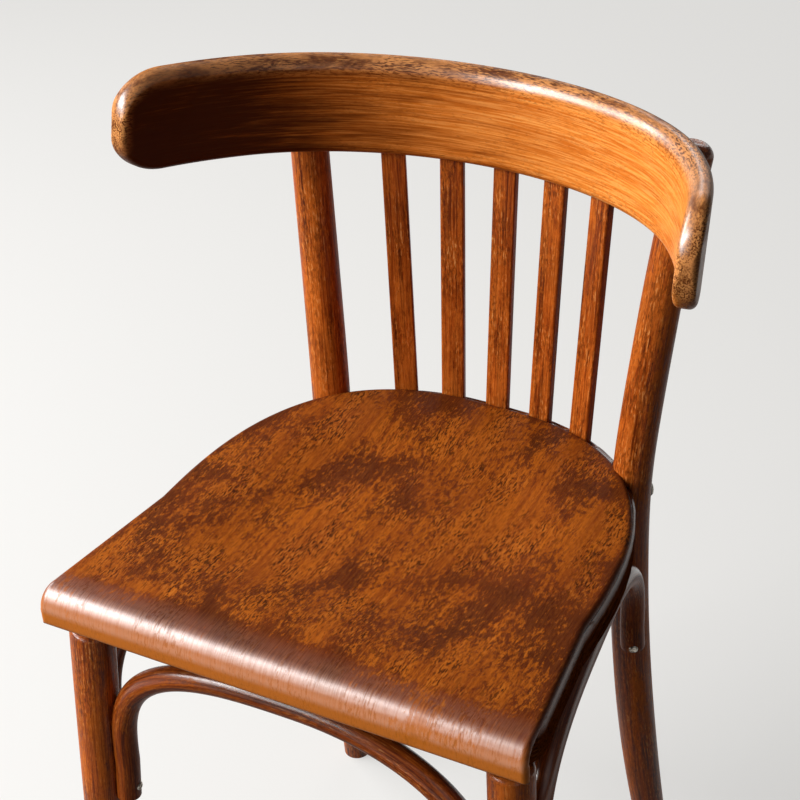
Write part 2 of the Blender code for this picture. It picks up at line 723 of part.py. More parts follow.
def nut_mesh(side):
    """Hexagonal nut with a clear bore."""
    head, direction, nut_seat = bolt_line(side)
    turn = direction.to_track_quat("Z", "Y")
    bm = bmesh.new()
    loops = []
    bore = BOLT_DIAMETER / 2 + CLEARANCE
    corner = NUT_ACROSS_FLATS / 2 / cos(pi / 6)
    start = nut_seat + CLEARANCE
    for along, hexagon in ((start, True), (start + NUT_HEIGHT, True),
                           (start + NUT_HEIGHT, False), (start, False)):
        loop = []
        for k in range(12):
            a = 2 * pi * k / 12
            radius = bore
            if hexagon:
                radius = corner if k % 2 == 0 else corner * cos(pi / 6)
            loop.append(bm.verts.new(head + turn @ Vector((radius * cos(a), radius * sin(a), along))))
        loops.append(loop)
    for one, two in zip(loops, loops[1:] + loops[:1]):
        for k in range(12):
            j = (k + 1) % 12
            bm.faces.new((one[k], one[j], two[j], two[k]))
    return finish_mesh("post_nut", bm)


def bolt_hole_mesh(side):
    """Stepped hole: head recess in the post, shank hole, nut seat inside the hoop."""
    head, direction, nut_seat = bolt_line(side)
    wide = BOLT_HEAD_DIAMETER / 2 + CLEARANCE
    shank = BOLT_DIAMETER / 2 + CLEARANCE
    nut = NUT_ACROSS_FLATS / 2 / cos(pi / 6) + CLEARANCE * 2
    profile = [(-BOLT_RECESS, wide), (CLEARANCE, wide), (CLEARANCE, shank), (nut_seat, shank),
               (nut_seat, nut), (nut_seat + BOLT_RECESS, nut)]
    return turned("bolt_hole", head, direction, profile, 16)


def seat_screws():
    """Head points of the screws that hold the panel, up through the hoop's middle line."""
    inset = HOOP_INSET + HOOP_WIDTH / 2
    points = []
    for side in (-1, 1):
        for place in SEAT_SCREW_PLACES:
            y = SEAT_CURVE_START_Y + place
            x = side * plan_half_width(y, inset, HOOP_BACK_Y - HOOP_WIDTH / 2)
            bottom = -SEAT_THICKNESS - CLEARANCE - HOOP_HEIGHT
            points.append(seat_world(x, y, bottom + SEAT_SCREW_RECESS))
    return points


def seat_up():
    return (SEAT_PLACE.to_3x3() @ Vector((0, 0, 1))).normalized()


# The chair

def clear_scene():
    for item in list(bpy.data.objects):
        bpy.data.objects.remove(item, do_unlink=True)


def stand_on_origin(root):
    """Moves the chair so that its bounding box stands centred on the origin."""
    bpy.context.view_layer.update()
    graph = bpy.context.evaluated_depsgraph_get()
    low = Vector((1e9, 1e9, 1e9))
    high = -low
    for item in bpy.context.scene.objects:
        if item.type != "MESH" or item.hide_render:
            continue
        solid = item.evaluated_get(graph)
        for vertex in solid.data.vertices:
            place = solid.matrix_world @ vertex.co
            low = Vector(map(min, low, place))
            high = Vector(map(max, high, place))
    root.location = (-(low.x + high.x) / 2, -(low.y + high.y) / 2, -low.z)
    bpy.context.view_layer.update()


def build():
    clear_scene()
    seat_wood = material("seat_varnish", (0.42, 0.17, 0.05), 0.42)
    frame_wood = material("frame_varnish", (0.36, 0.13, 0.035), 0.38)
    rail_wood = material("rail_varnish", (0.50, 0.25, 0.09), 0.36)
    steel = material("old_steel", (0.32, 0.29, 0.25), 0.45, 1.0)
    root = bpy.data.objects.new("chair", None)
    bpy.context.scene.collection.objects.link(root)

    panel = object_from("seat_panel", seat_panel_mesh(), seat_wood, root)
    panel.matrix_local = SEAT_PLACE
    shell = panel.modifiers.new("plywood", "SOLIDIFY")
    shell.thickness = SEAT_THICKNESS
    shell.offset = -1
    shell.use_even_offset = True
    edges = panel.modifiers.new("eased_edges", "BEVEL")
    edges.width = SEAT_EDGE_ROUND
    edges.segments = 2
    edges.limit_method = "ANGLE"
    edges.angle_limit = radians(50)

    hoop = object_from("seat_hoop", hoop_mesh(), frame_wood, root)
    hoop.matrix_local = SEAT_PLACE
    rounds = hoop.modifiers.new("rounded_edges", "BEVEL")
    rounds.width = HOOP_EDGE_ROUND
    rounds.segments = 1
    rounds.limit_method = "ANGLE"
    rounds.angle_limit = radians(50)

    rail = object_from("top_rail", rail_mesh(), rail_wood, root)
    rail.matrix_local = RAIL_PLACE

    hoop_cuts = []
    panel_cuts = []
    rail_cuts = []
    sides = ((-1, "left"), (1, "right"))

    for i in range(SLAT_COUNT):
        object_from(f"slat_{i + 1}", slat_mesh(i), frame_wood, root)
        hoop_cuts.append(slat_mesh(i, CLEARANCE))
        rail_cuts.append(slat_mesh(i, CLEARANCE))

    front_bow_cuts = []
    for side, word in sides:
        leg = object_from(f"front_leg_{word}", front_leg_mesh(side), frame_wood, root)
        post = object_from(f"back_post_{word}", post_mesh(side), frame_wood, root)
        hoop_cuts.append(tenon_hole_mesh(side))
        hoop_cuts.append(post_mesh(side, CLEARANCE))
        panel_cuts.append(post_mesh(side, CLEARANCE))
        leg_cuts = []
        post_cuts = []

        seat = rail_mesh("rail_seat", CLEARANCE)
        seat.transform(RAIL_PLACE)
        cut(post, f"rail_seat_{word}", [seat], root)

        side_bow = object_from(f"side_bow_{word}", bar("side_bow", side_bow_path(side),
                               [BOW_DIAMETER / 2] * (BOW_STEPS + 5), BOW_SIDES), frame_wood, root)
        side_bow_cuts = []
        ends = (("front_bow_screw", front_bow_contact(side), front_leg_axis, BOW_FRONT_END_Z,
                 FRONT_BOW_RUN_TOP_Z, (front_bow_cuts, leg_cuts)),
                ("side_bow_front_screw", side_bow_front_contact(side), front_leg_axis, BOW_FRONT_END_Z,
                 BOW_RUN_TOP_Z, (side_bow_cuts, leg_cuts)),
                ("side_bow_rear_screw", side_bow_rear_contact(side), post_axis, BOW_REAR_END_Z,
                 BOW_RUN_TOP_Z, (side_bow_cuts, post_cuts)))
        for name, contact, axis, end_z, run_top, targets in ends:
            place, direction = bow_end_screw(contact, axis, side, end_z, run_top)
            object_from(f"{name}_{word}", screw_mesh(place, direction, SCREW_LENGTH), steel, root)
            for target in targets:
                target.append(screw_hole_mesh(place, direction, SCREW_LENGTH, SCREW_RECESS))

        place, direction = front_bow_screw(side)
        object_from(f"front_rail_screw_{word}", screw_mesh(place, direction, SCREW_LENGTH), steel, root)
        front_bow_cuts.append(screw_hole_mesh(place, direction, SCREW_LENGTH, SCREW_RECESS))
        hoop_cuts.append(screw_hole_mesh(place, direction, SCREW_LENGTH, SCREW_RECESS))

        for height, level in zip(RAIL_SCREW_HEIGHTS, ("lower", "upper")):
            place, direction = rail_screw(side, height)
            object_from(f"rail_screw_{level}_{word}", screw_mesh(place, direction, RAIL_SCREW_LENGTH),
                        steel, root)
            hole = screw_hole_mesh(place, direction, RAIL_SCREW_LENGTH, SCREW_RECESS)
            post_cuts.append(hole)
            rail_cuts.append(hole)

        object_from(f"post_bolt_{word}", bolt_mesh(side), steel, root)
        object_from(f"post_nut_{word}", nut_mesh(side), steel, root)
        post_cuts.append(bolt_hole_mesh(side))
        cut(post, f"post_holes_{word}", post_cuts, root)
        cut(hoop, f"bolt_hole_{word}", [bolt_hole_mesh(side)], root)
        cut(leg, f"leg_holes_{word}", leg_cuts, root)
        cut(side_bow, f"side_bow_holes_{word}", side_bow_cuts, root)
        cut(side_bow, f"side_bow_seats_{word}", [front_leg_mesh(side, CLEARANCE), post_mesh(side, CLEARANCE)],
            root)

    bow = object_from("front_bow", bar("front_bow", front_bow_path(),
                      [BOW_DIAMETER / 2] * (BOW_STEPS + 5), BOW_SIDES), frame_wood, root)
    cut(bow, "front_bow_holes", front_bow_cuts, root)
    cut(bow, "front_bow_seats", [front_leg_mesh(side, CLEARANCE) for side, word in sides], root)

    for i, place in enumerate(seat_screws()):
        object_from(f"seat_screw_{i + 1}", screw_mesh(place, seat_up(), SEAT_SCREW_LENGTH), steel, root)
        hole = screw_hole_mesh(place, seat_up(), SEAT_SCREW_LENGTH, SEAT_SCREW_ACCESS)
        hoop_cuts.append(hole)
        panel_cuts.append(hole)

    cut(hoop, "hoop_joints", hoop_cuts, root)
    cut(panel, "panel_joints", panel_cuts, root)
    cut(rail, "rail_joints", rail_cuts, root)
    stand_on_origin(root)


build()
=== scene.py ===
from math import asin, atan2, cos, hypot, pi, radians, sin, sqrt, tan

import bmesh
import bpy
import numpy as np
from mathutils import Matrix, Vector


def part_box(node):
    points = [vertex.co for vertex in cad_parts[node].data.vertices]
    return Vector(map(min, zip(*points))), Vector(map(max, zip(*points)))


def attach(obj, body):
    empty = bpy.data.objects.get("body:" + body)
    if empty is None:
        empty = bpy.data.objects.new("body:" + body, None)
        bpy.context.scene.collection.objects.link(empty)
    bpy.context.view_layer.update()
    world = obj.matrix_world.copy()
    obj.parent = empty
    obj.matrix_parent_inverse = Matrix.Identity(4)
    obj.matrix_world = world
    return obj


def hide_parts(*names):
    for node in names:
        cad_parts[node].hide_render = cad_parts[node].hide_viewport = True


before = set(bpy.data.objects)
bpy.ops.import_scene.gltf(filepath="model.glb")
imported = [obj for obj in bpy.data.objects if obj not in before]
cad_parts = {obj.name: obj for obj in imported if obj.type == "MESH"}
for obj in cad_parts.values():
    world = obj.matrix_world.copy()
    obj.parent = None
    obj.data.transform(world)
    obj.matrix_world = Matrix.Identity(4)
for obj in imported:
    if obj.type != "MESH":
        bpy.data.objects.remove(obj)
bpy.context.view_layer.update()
deck = bpy.context.scene
print("frame loaded:", len(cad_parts), "nodes")


# small helpers

def tint(red, green, blue):  # screen colour 0 to 255 to the linear value that a shader takes
    return tuple(((c / 255 + 0.055) / 1.055) ** 2.4 if c > 10 else c / 255 / 12.92
                 for c in (red, green, blue)) + (1.0,)


def smoothStep(value):
    value = np.clip(value, 0.0, 1.0)
    return value * value * (3 - 2 * value)


def between(a, b, share):
    return a + (b - a) * share


def fill(tree, inputs, values):  # links sockets or sets plain values, by name or place
    for key, value in values.items():
        if isinstance(value, bpy.types.NodeSocket):
            tree.links.new(value, inputs[key])
        else:
            inputs[key].default_value = value


def plug(tree, kind, sockets=None, **settings):  # one node with its settings and sockets
    made = tree.nodes.new(kind)
    for key, value in settings.items():
        setattr(made, key, value)
    fill(tree, made.inputs, sockets or {})
    return made


def maths(tree, operation, a, b=0.0, clamp=False):
    return plug(tree, "ShaderNodeMath", {0: a, 1: b}, operation=operation, use_clamp=clamp).outputs[0]


def times(tree, a, b, clamp=False):
    return maths(tree, "MULTIPLY", a, b, clamp)


def plus(tree, a, b, clamp=False):
    return maths(tree, "ADD", a, b, clamp)


def minus(tree, a, b, clamp=False):
    return maths(tree, "SUBTRACT", a, b, clamp)


def vectorMaths(tree, operation, a, b):
    return plug(tree, "ShaderNodeVectorMath", {0: a, 1: b}, operation=operation).outputs[0]


def scaled(tree, vector, factor):
    return plug(tree, "ShaderNodeVectorMath", {0: vector, 3: factor}, operation="SCALE").outputs[0]


def combine(tree, x, y, z):
    return plug(tree, "ShaderNodeCombineXYZ", {0: x, 1: y, 2: z}).outputs[0]


def spread(tree, value, low, high, toLow=0.0, toHigh=1.0, curve="SMOOTHSTEP"):
    made = plug(tree, "ShaderNodeMapRange", {0: value, 1: low, 2: high, 3: toLow, 4: toHigh},
                interpolation_type=curve)
    return made.outputs[0]


def blendColour(tree, factor, a, b):
    return plug(tree, "ShaderNodeMix", {0: factor, 6: a, 7: b}, data_type="RGBA").outputs[2]


def cover(tree, colour, mask, amount, top):  # lays a colour over another where a mask says so
    return blendColour(tree, times(tree, mask, amount), colour, top)


def stretched(tree, vector, across, along, shift=(0, 0, 0)):  # vector in metres to pattern cells
    return plug(tree, "ShaderNodeMapping", {"Vector": vector, "Location": shift,
                                            "Scale": (across, across, along)}).outputs[0]


def noise(tree, vector, detail=3.0, rough=0.5, distortion=0.0):
    return plug(tree, "ShaderNodeTexNoise", {"Vector": vector, "Scale": 1.0, "Detail": detail,
                                             "Roughness": rough, "Distortion": distortion}).outputs[0]


def newGroup(name, inputs, outputs, kind="ShaderNodeTree"):
    tree = bpy.data.node_groups.new(name, kind)
    for label, socket, value in inputs:
        made = tree.interface.new_socket(label, in_out="INPUT", socket_type="NodeSocket" + socket)
        if value is not None:
            made.default_value = value
    for label, socket in outputs:
        tree.interface.new_socket(label, in_out="OUTPUT", socket_type="NodeSocket" + socket)
    return tree, tree.nodes.new("NodeGroupInput").outputs, tree.nodes.new("NodeGroupOutput").inputs


def newPattern(name, numbers, *outputs):  # a shader group: a vector and numbers in, numbers out
    inputs = [("Vector", "Vector", None)] + [(label, "Float", value) for label, value in numbers.items()]
    return newGroup(name, inputs, [(label, "Float") for label in outputs])


def useGroup(tree, group, sockets):
    return plug(tree, "ShaderNodeGroup", sockets, node_tree=group).outputs


# shared finishes: grain, worn varnish, grime

def makeGrainGroup():  # beech: long soft streaks, fine fibre, short dark rays
    tree, given, out = newPattern("beechGrain", {"Coarseness": 1.0}, "Streak", "Fibre", "Ray", "Height")
    vector = scaled(tree, given["Vector"], given["Coarseness"])
    streak = noise(tree, stretched(tree, vector, 210, 8), 4.0, 0.6, 0.6)
    fibre = noise(tree, stretched(tree, vector, 800, 24, (3, 1, 7)), 3.0, 0.65)
    rays = noise(tree, stretched(tree, vector, 1300, 220, (9, 4, 2)), 2.0)
    ray = spread(tree, rays, 0.62, 0.72)
    height = minus(tree, times(tree, fibre, 0.7), times(tree, ray, 0.5))
    fill(tree, out, {"Streak": streak, "Fibre": fibre, "Ray": ray, "Height": height})
    return tree


def makeWearGroup():  # soft clouds of kept and worn varnish, broken up by short cracks along the grain
    numbers = {"Wear": 0.5, "Patch Size": 0.05, "Stretch": 1.6, "Raggedness": 0.8, "Tick Size": 1.0}
    tree, given, out = newPattern("wornVarnish", numbers, "Bare", "Cloud", "Tick", "Fleck", "Height")
    vector = given["Vector"]
    scale = maths(tree, "DIVIDE", 1.0, given["Patch Size"])
    cells = combine(tree, scale, scale, maths(tree, "DIVIDE", scale, given["Stretch"]))
    clouds = noise(tree, vectorMaths(tree, "MULTIPLY", vector, cells), 4.0, 0.55, 0.5)
    bent = plug(tree, "ShaderNodeTexNoise", {"Vector": vector, "Scale": 120.0, "Detail": 2.0})
    nudge = vectorMaths(tree, "MULTIPLY", bent.outputs["Color"], (0.0018, 0.0018, 0.0030))
    warped = scaled(tree, vectorMaths(tree, "ADD", vector, nudge),
                    maths(tree, "DIVIDE", 1.0, given["Tick Size"]))
    ragged = noise(tree, stretched(tree, warped, 330, 150, (5, 2, 8)), 5.0, 0.72)
    level = plus(tree, clouds, times(tree, minus(tree, ragged, 0.5), given["Raggedness"]))
    level = plus(tree, level, minus(tree, given["Wear"], 0.5))
    bare = spread(tree, level, 0.44, 0.57)
    zone = noise(tree, stretched(tree, vector, 34, 16, (1, 6, 3)), 3.0, 0.6)
    zone = spread(tree, zone, 0.40, 0.62, 0.25, 1.0)
    strokes = noise(tree, stretched(tree, warped, 820, 190, (7, 3, 1)), 2.0)
    tick = times(tree, spread(tree, strokes, 0.53, 0.58), zone, True)
    fleck = times(tree, spread(tree, strokes, 0.45, 0.37), zone, True)
    height = minus(tree, times(tree, bare, -0.4), times(tree, tick, 0.9))
    fill(tree, out, {"Bare": bare, "Cloud": spread(tree, clouds, 0.34, 0.66), "Tick": tick,
                     "Fleck": fleck, "Height": height})
    return tree


def makeGrimeGroup():  # soft dark cloud and small specks
    tree, given, out = newPattern("oldGrime", {"Cloud Size": 0.04}, "Cloud", "Speck")
    sized = scaled(tree, given["Vector"], maths(tree, "DIVIDE", 1.0, given["Cloud Size"]))
    cloud = spread(tree, noise(tree, sized, 5.0, 0.6), 0.35, 0.7)
    speck = noise(tree, stretched(tree, given["Vector"], 1100, 420, (2, 9, 5)), 2.0)
    fill(tree, out, {"Cloud": cloud, "Speck": spread(tree, speck, 0.66, 0.74)})
    return tree


grainGroup = makeGrainGroup()
wearGroup = makeWearGroup()
grimeGroup = makeGrimeGroup()


def startMaterial(name):
    made = bpy.data.materials.new(name)
    made.use_nodes = True
    tree = made.node_tree
    return made, tree, tree.nodes["Principled BSDF"]


def attribute(tree, name, kind="Vector"):
    return plug(tree, "ShaderNodeAttribute", attribute_name=name, attribute_type="GEOMETRY").outputs[kind]


def relief(tree, height, strength, distance):
    return plug(tree, "ShaderNodeBump", {"Strength": strength, "Distance": distance,
                                         "Height": height}).outputs[0]


def varnish(tree, shader, f, colour, rough, coat, height, specular):  # the sockets every varnish sets
    fill(tree, shader.inputs, {"Base Color": colour, "Roughness": rough, "Coat Weight": coat,
                               "Coat Roughness": f["coatRough"], "Coat IOR": f["coatIor"],
                               "Specular IOR Level": specular,
                               "Normal": relief(tree, height, *f["relief"])})


# seat panel finish

seatFinish = {
    "brown": tint(72, 29, 8), "redBrown": tint(104, 43, 13), "orange": tint(122, 54, 10),
    "gold": tint(172, 90, 16), "crack": tint(34, 13, 4), "fleck": tint(184, 108, 38),
    "roll": tint(212, 118, 36), "patch": 0.068, "wear": 0.54, "roughKept": 0.46, "roughBare": 0.58,
    "coatRough": 0.38, "coatIor": 2.3, "specular": 0.05, "relief": (0.55, 0.00018),
    # along the seat or in from its rim: from, to, value before, value beyond
    "rimKeeps": (0.002, 0.012, -0.09, 0.0), "rollKeeps": (0.040, 0.064, -0.20, 0.0),
    # rollColour paints the lip golden: partly its worn colour, partly painted light for the front light
    # falling on it
    "rollColour": (0.014, 0.034, 0.88, 0.0), "edgeLine": (0.0005, 0.004, 0.8, 0.0),
    "cracks": (0.035, 0.060, 0.30, 0.85), "fibre": (0.03, 0.055, 0.20, 0.07),
    "rollGloss": (0.032, 0.056, 1.0, 0.02), "lipGloss": (0.011, 0.019, 0.06, 1.0),
    "rimGloss": (0.0, 0.005, 0.1, 1.0),
}


def makeSeatFinish(f):
    made, tree, shader = startMaterial("seatVarnish")
    vector = attribute(tree, "grain")
    rim = attribute(tree, "rim", "Fac")
    run = attribute(tree, "run", "Fac")
    grain = useGroup(tree, grainGroup, {"Vector": vector})
    kept = plus(tree, spread(tree, rim, *f["rimKeeps"]), spread(tree, run, *f["rollKeeps"]))
    wear = plus(tree, kept, f["wear"])
    worn = useGroup(tree, wearGroup, {"Vector": vector, "Wear": wear, "Patch Size": f["patch"],
                                      "Stretch": 1.4, "Raggedness": 0.9})
    tone = useGroup(tree, grimeGroup, {"Vector": vector, "Cloud Size": 0.075})
    brown = blendColour(tree, worn["Cloud"], f["brown"], f["redBrown"])
    gold = blendColour(tree, spread(tree, grain["Streak"], 0.34, 0.66, 0.15, 0.85), f["orange"], f["gold"])
    colour = cover(tree, brown, worn["Bare"], 0.88, gold)
    colour = cover(tree, colour, tone["Cloud"], 0.45, f["redBrown"])
    # the lip is painted golden: partly its worn colour, partly painted light
    colour = blendColour(tree, spread(tree, run, *f["rollColour"]), colour, f["roll"])
    fleck = times(tree, worn["Fleck"], spread(tree, worn["Bare"], 0.0, 1.0, 0.12, 0.45))
    colour = blendColour(tree, fleck, colour, f["fleck"])
    calm = times(tree, spread(tree, run, *f["cracks"]), spread(tree, worn["Bare"], 0.0, 1.0, 0.35, 1.0))
    colour = cover(tree, colour, worn["Tick"], calm, f["crack"])
    colour = cover(tree, colour, grain["Ray"], 0.22, f["crack"])
    fibre = spread(tree, grain["Fibre"], 0.42, 0.60)
    colour = cover(tree, colour, fibre, spread(tree, run, *f["fibre"]), f["fleck"])
    colour = blendColour(tree, spread(tree, run, *f["edgeLine"]), colour, f["crack"])
    rough = plus(tree, times(tree, worn["Bare"], f["roughBare"] - f["roughKept"]), f["roughKept"])
    rough = plus(tree, rough, times(tree, fibre, 0.08), True)
    gloss = spread(tree, run, *f["rollGloss"])  # sitters polish the front roll, the rest is dull
    for mask, *limits in ((run, *f["lipGloss"]), (rim, *f["rimGloss"]),
                          (grain["Fibre"], 0.38, 0.54, 0.78, 1.0), (worn["Tick"], 0.0, 1.0, 1.0, 0.50),
                          (worn["Cloud"], 0.0, 1.0, 0.85, 1.0)):
        gloss = times(tree, gloss, spread(tree, mask, *limits))
    coat = times(tree, minus(tree, 1.0, times(tree, worn["Bare"], 0.6), True), gloss)
    height = plus(tree, worn["Height"], times(tree, grain["Height"], 0.9))
    varnish(tree, shader, f, colour, rough, coat, height, f["specular"])
    return made


# frame finish: posts, legs, slats, bows, hoop

frameFinish = {
    "dark": tint(92, 34, 8), "mid": tint(168, 74, 19), "light": tint(214, 112, 36),
    "pale": tint(238, 172, 100), "black": tint(34, 12, 5),
    "coatRough": 0.24, "coatIor": 1.8, "relief": (0.5, 0.00012), "glossUp": (0.10, 0.50),
}


def makeFrameFinish(name, f, wear=0.5, shadeDarkening=0.0, patch=0.02, shine=0.04, specular=0.08):
    made, tree, shader = startMaterial(name)
    vector = attribute(tree, "grain")
    grain = useGroup(tree, grainGroup, {"Vector": vector})
    worn = useGroup(tree, wearGroup, {"Vector": vector, "Wear": wear, "Patch Size": patch,
                                      "Stretch": 6.0, "Raggedness": 0.7, "Tick Size": 1.1})
    grime = useGroup(tree, grimeGroup, {"Vector": vector, "Cloud Size": 0.045})
    colour = blendColour(tree, spread(tree, grain["Streak"], 0.34, 0.60), f["dark"], f["mid"])
    colour = cover(tree, colour, worn["Bare"], 0.50, f["light"])
    colour = cover(tree, colour, grime["Cloud"], 0.40, f["dark"])
    fibre = spread(tree, grain["Fibre"], 0.42, 0.60)
    colour = cover(tree, colour, fibre, 0.38, f["light"])
    colour = blendColour(tree, spread(tree, grain["Fibre"], 0.36, 0.48, 0.30, 0.0), colour, f["dark"])
    pale = times(tree, worn["Fleck"], spread(tree, grain["Fibre"], 0.45, 0.65))
    colour = cover(tree, colour, pale, 0.55, f["pale"])
    colour = cover(tree, colour, worn["Tick"], 0.45, f["black"])
    colour = cover(tree, colour, grain["Ray"], 0.55, f["black"])
    # painted shade: the bows and hoop sit under the seat and are blended towards black all over
    if shadeDarkening:
        colour = blendColour(tree, shadeDarkening, colour, f["black"])
    rough = spread(tree, plus(tree, worn["Bare"], times(tree, grain["Fibre"], 0.5)),
                   0.0, 1.5, 0.32, 0.52, "LINEAR")
    gloss = spread(tree, attribute(tree, "up", "Fac"), *f["glossUp"], shine, 1.0)
    coat = times(tree, minus(tree, 1.0, times(tree, worn["Bare"], 0.7), True), gloss)
    height = plus(tree, worn["Height"], times(tree, grain["Height"], 0.8))
    varnish(tree, shader, f, colour, rough, coat, height, specular)
    return made


# top rail finish

railFinish = {
    "honey": tint(226, 136, 54), "amber": tint(186, 94, 24), "pale": tint(242, 172, 94),
    "brown": tint(84, 34, 8), "black": tint(32, 12, 4), "tan": tint(214, 142, 82),
    "rimBrown": tint(94, 44, 17), "shadeDark": tint(64, 24, 5),
    "coatRough": 0.33, "coatIor": 2.1, "specular": 0.04, "relief": (0.45, 0.0001),
    # along the board, from its edge or by facing, as above
    # painted shade: the board is painted amber over its middle and dark brown at its left end, where its
    # inside faces away from the lamps
    "halfShadeSide": (-0.10, 0.16, 0.62, 0.0), "shadeDarkSide": (-0.250, 0.03, 0.93, 0.0),
    "rubbedEdge": (0.005, 0.016, 1.0, 0.0), "edgeTicks": (0.010, 0.030, 0.5, 0.20),
    "glossUp": (0.26, 0.48, 0.0, 1.0), "glossInner": (0.10, 0.60, 0.05, 1.0),
}


def makeRailFinish(f):
    made, tree, shader = startMaterial("railVarnish")
    vector = attribute(tree, "grain")
    edge = attribute(tree, "edge", "Fac")
    face = attribute(tree, "inner", "Fac")
    side = attribute(tree, "run", "Fac")
    grain = useGroup(tree, grainGroup, {"Vector": vector, "Coarseness": 0.9})
    worn = useGroup(tree, wearGroup, {"Vector": vector, "Wear": 0.50, "Patch Size": 0.03,
                                      "Stretch": 5.0, "Raggedness": 0.6, "Tick Size": 0.9})
    honey = blendColour(tree, spread(tree, grain["Streak"], 0.34, 0.62, 0.25, 0.85), f["amber"], f["honey"])
    honey = cover(tree, honey, worn["Cloud"], 0.35, f["amber"])
    fibre = spread(tree, grain["Fibre"], 0.44, 0.60)
    honey = cover(tree, honey, fibre, 0.42, f["pale"])
    honey = blendColour(tree, spread(tree, grain["Fibre"], 0.36, 0.47, 0.45, 0.0), honey, f["amber"])
    drift = times(tree, minus(tree, worn["Cloud"], 0.5), 0.09)
    streaky = minus(tree, plus(tree, grain["Streak"], grain["Fibre"]), 1.0)
    shade = plus(tree, plus(tree, side, drift), times(tree, streaky, 0.32))
    # painted shade along the board: amber, then dark brown towards the left end, its edge broken up by clouds
    # and grain
    colour = blendColour(tree, spread(tree, shade, *f["halfShadeSide"]), honey, f["amber"])
    colour = blendColour(tree, spread(tree, shade, *f["shadeDarkSide"]), colour, f["shadeDark"])
    back = minus(tree, 1.0, face, True)
    colour = cover(tree, colour, back, 0.75, f["brown"])
    band = spread(tree, edge, *f["rubbedEdge"])
    drawn = stretched(tree, vector, 1.0, 0.3)  # the rubbed edge is streaked along the board
    grime = useGroup(tree, grimeGroup, {"Vector": drawn, "Cloud Size": 0.009})
    rim = blendColour(tree, grime["Cloud"], f["tan"], f["rimBrown"])
    rim = cover(tree, rim, worn["Fleck"], 0.5, f["pale"])
    rim = cover(tree, rim, grime["Speck"], 0.9, f["black"])
    rim = cover(tree, rim, worn["Tick"], 0.75, f["black"])
    colour = cover(tree, colour, band, 0.88, rim)
    colour = cover(tree, colour, grain["Ray"], 0.45, f["brown"])
    colour = cover(tree, colour, worn["Tick"], spread(tree, edge, *f["edgeTicks"]), f["brown"])
    rough = spread(tree, plus(tree, worn["Bare"], grain["Fibre"]), 0.2, 1.6, 0.30, 0.46, "LINEAR")
    gloss = times(tree, spread(tree, attribute(tree, "up", "Fac"), *f["glossUp"]),
                  spread(tree, face, *f["glossInner"]))
    coat = times(tree, spread(tree, worn["Bare"], 0.0, 1.0, 1.0, 0.65), gloss)
    height = plus(tree, times(tree, worn["Height"], 0.5), grain["Height"])
    varnish(tree, shader, f, colour, rough, coat, height, f["specular"])
    return made


# steel finish

steelFinish = {"bright": tint(190, 184, 172), "dull": tint(92, 74, 58), "rust": tint(70, 36, 18),
               "cloud": 0.004}


def makeSteelFinish(f):
    made, tree, shader = startMaterial("oldSteel")
    vector = plug(tree, "ShaderNodeTexCoord").outputs["Object"]
    grime = useGroup(tree, grimeGroup, {"Vector": vector, "Cloud Size": f["cloud"]})
    scratch = noise(tree, stretched(tree, vector, 2600, 300), 3.0, 0.6)
    colour = blendColour(tree, grime["Cloud"], f["bright"], f["dull"])
    fill(tree, shader.inputs, {"Base Color": cover(tree, colour, grime["Speck"], 0.8, f["rust"]),
                               "Roughness": spread(tree, grime["Cloud"], 0.0, 1.0, 0.28, 0.6),
                               "Metallic": spread(tree, grime["Cloud"], 0.2, 1.0, 1.0, 0.35),
                               "Normal": relief(tree, scratch, 0.3, 0.0001)})
    return made


seatMaterial = makeSeatFinish(seatFinish)
postMaterial = makeFrameFinish("postVarnish", frameFinish, wear=0.50, patch=0.014)
# the bow and hoop finishes are shaded copies of the post finish: painted shade
bowMaterial = makeFrameFinish("bowVarnish", frameFinish, wear=0.36, shadeDarkening=0.22, patch=0.014,
                              shine=0.02, specular=0.04)
hoopMaterial = makeFrameFinish("hoopVarnish", frameFinish, wear=0.40, shadeDarkening=0.45, shine=0.0, specular=0.0)
railMaterial = makeRailFinish(railFinish)
steelMaterial = makeSteelFinish(steelFinish)
print("finishes built:", len(bpy.data.materials), "materials")


# plan of the seat

seat = {
    "height": 0.4692, "tilt": radians(1.66), "thickness": 0.009,
    "frontHalf": 0.197, "sideHalf": 0.1785, "frontY": -0.203, "curveY": -0.0594, "backY": 0.168,
    "exponent": 2.6, "lipRadius": 0.016, "lipDrop": 0.0325, "lipLean": 0.0015,
    "dishDepth": 0.008, "dishRim": 0.030, "dishRun": 0.075,
    "columns": 130, "flatRows": 64, "backRows": 90, "rollRows": 22, "lipRows": 10,
    "lastTurn": radians(89.2), "columnReach": 0.985, "weld": 0.00001, "underGrain": 0.03,
    "smooth": radians(60),
}
seatPlace = Matrix.Translation((0, 0, seat["height"])) @ Matrix.Rotation(-seat["tilt"], 4, "X")


def seatWorld(x, y, z):
    return seatPlace @ Vector((x, y, z))


# the CAD stands centred on its box, so everything below is moved by the same amount
panelLow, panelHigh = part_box("seat_panel")
shift = Vector(((panelLow.x + panelHigh.x) / 2,
                panelLow.y - seatWorld(0, seat["frontY"], -seat["lipRadius"]).y, 0))


def settle(mesh):  # puts a finished mesh where the CAD stands
    mesh.transform(Matrix.Translation(shift))
    return mesh


def addObject(name, data):
    made = bpy.data.objects.new(name, data)
    deck.collection.objects.link(made)
    return made


def newPiece(name, mesh, material, slotName, *nodes):
    made = addObject(name, mesh)
    mesh.materials.clear()
    mesh.materials.append(material)
    setFloat(mesh, "up", [item.vector.z for item in mesh.vertex_normals])
    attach(made, "root")
    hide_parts(*nodes)
    return made


def setFloat(mesh, name, values):
    layer = mesh.attributes.new(name, "FLOAT", "POINT")
    layer.data.foreach_set("value", np.asarray(values, np.float32))


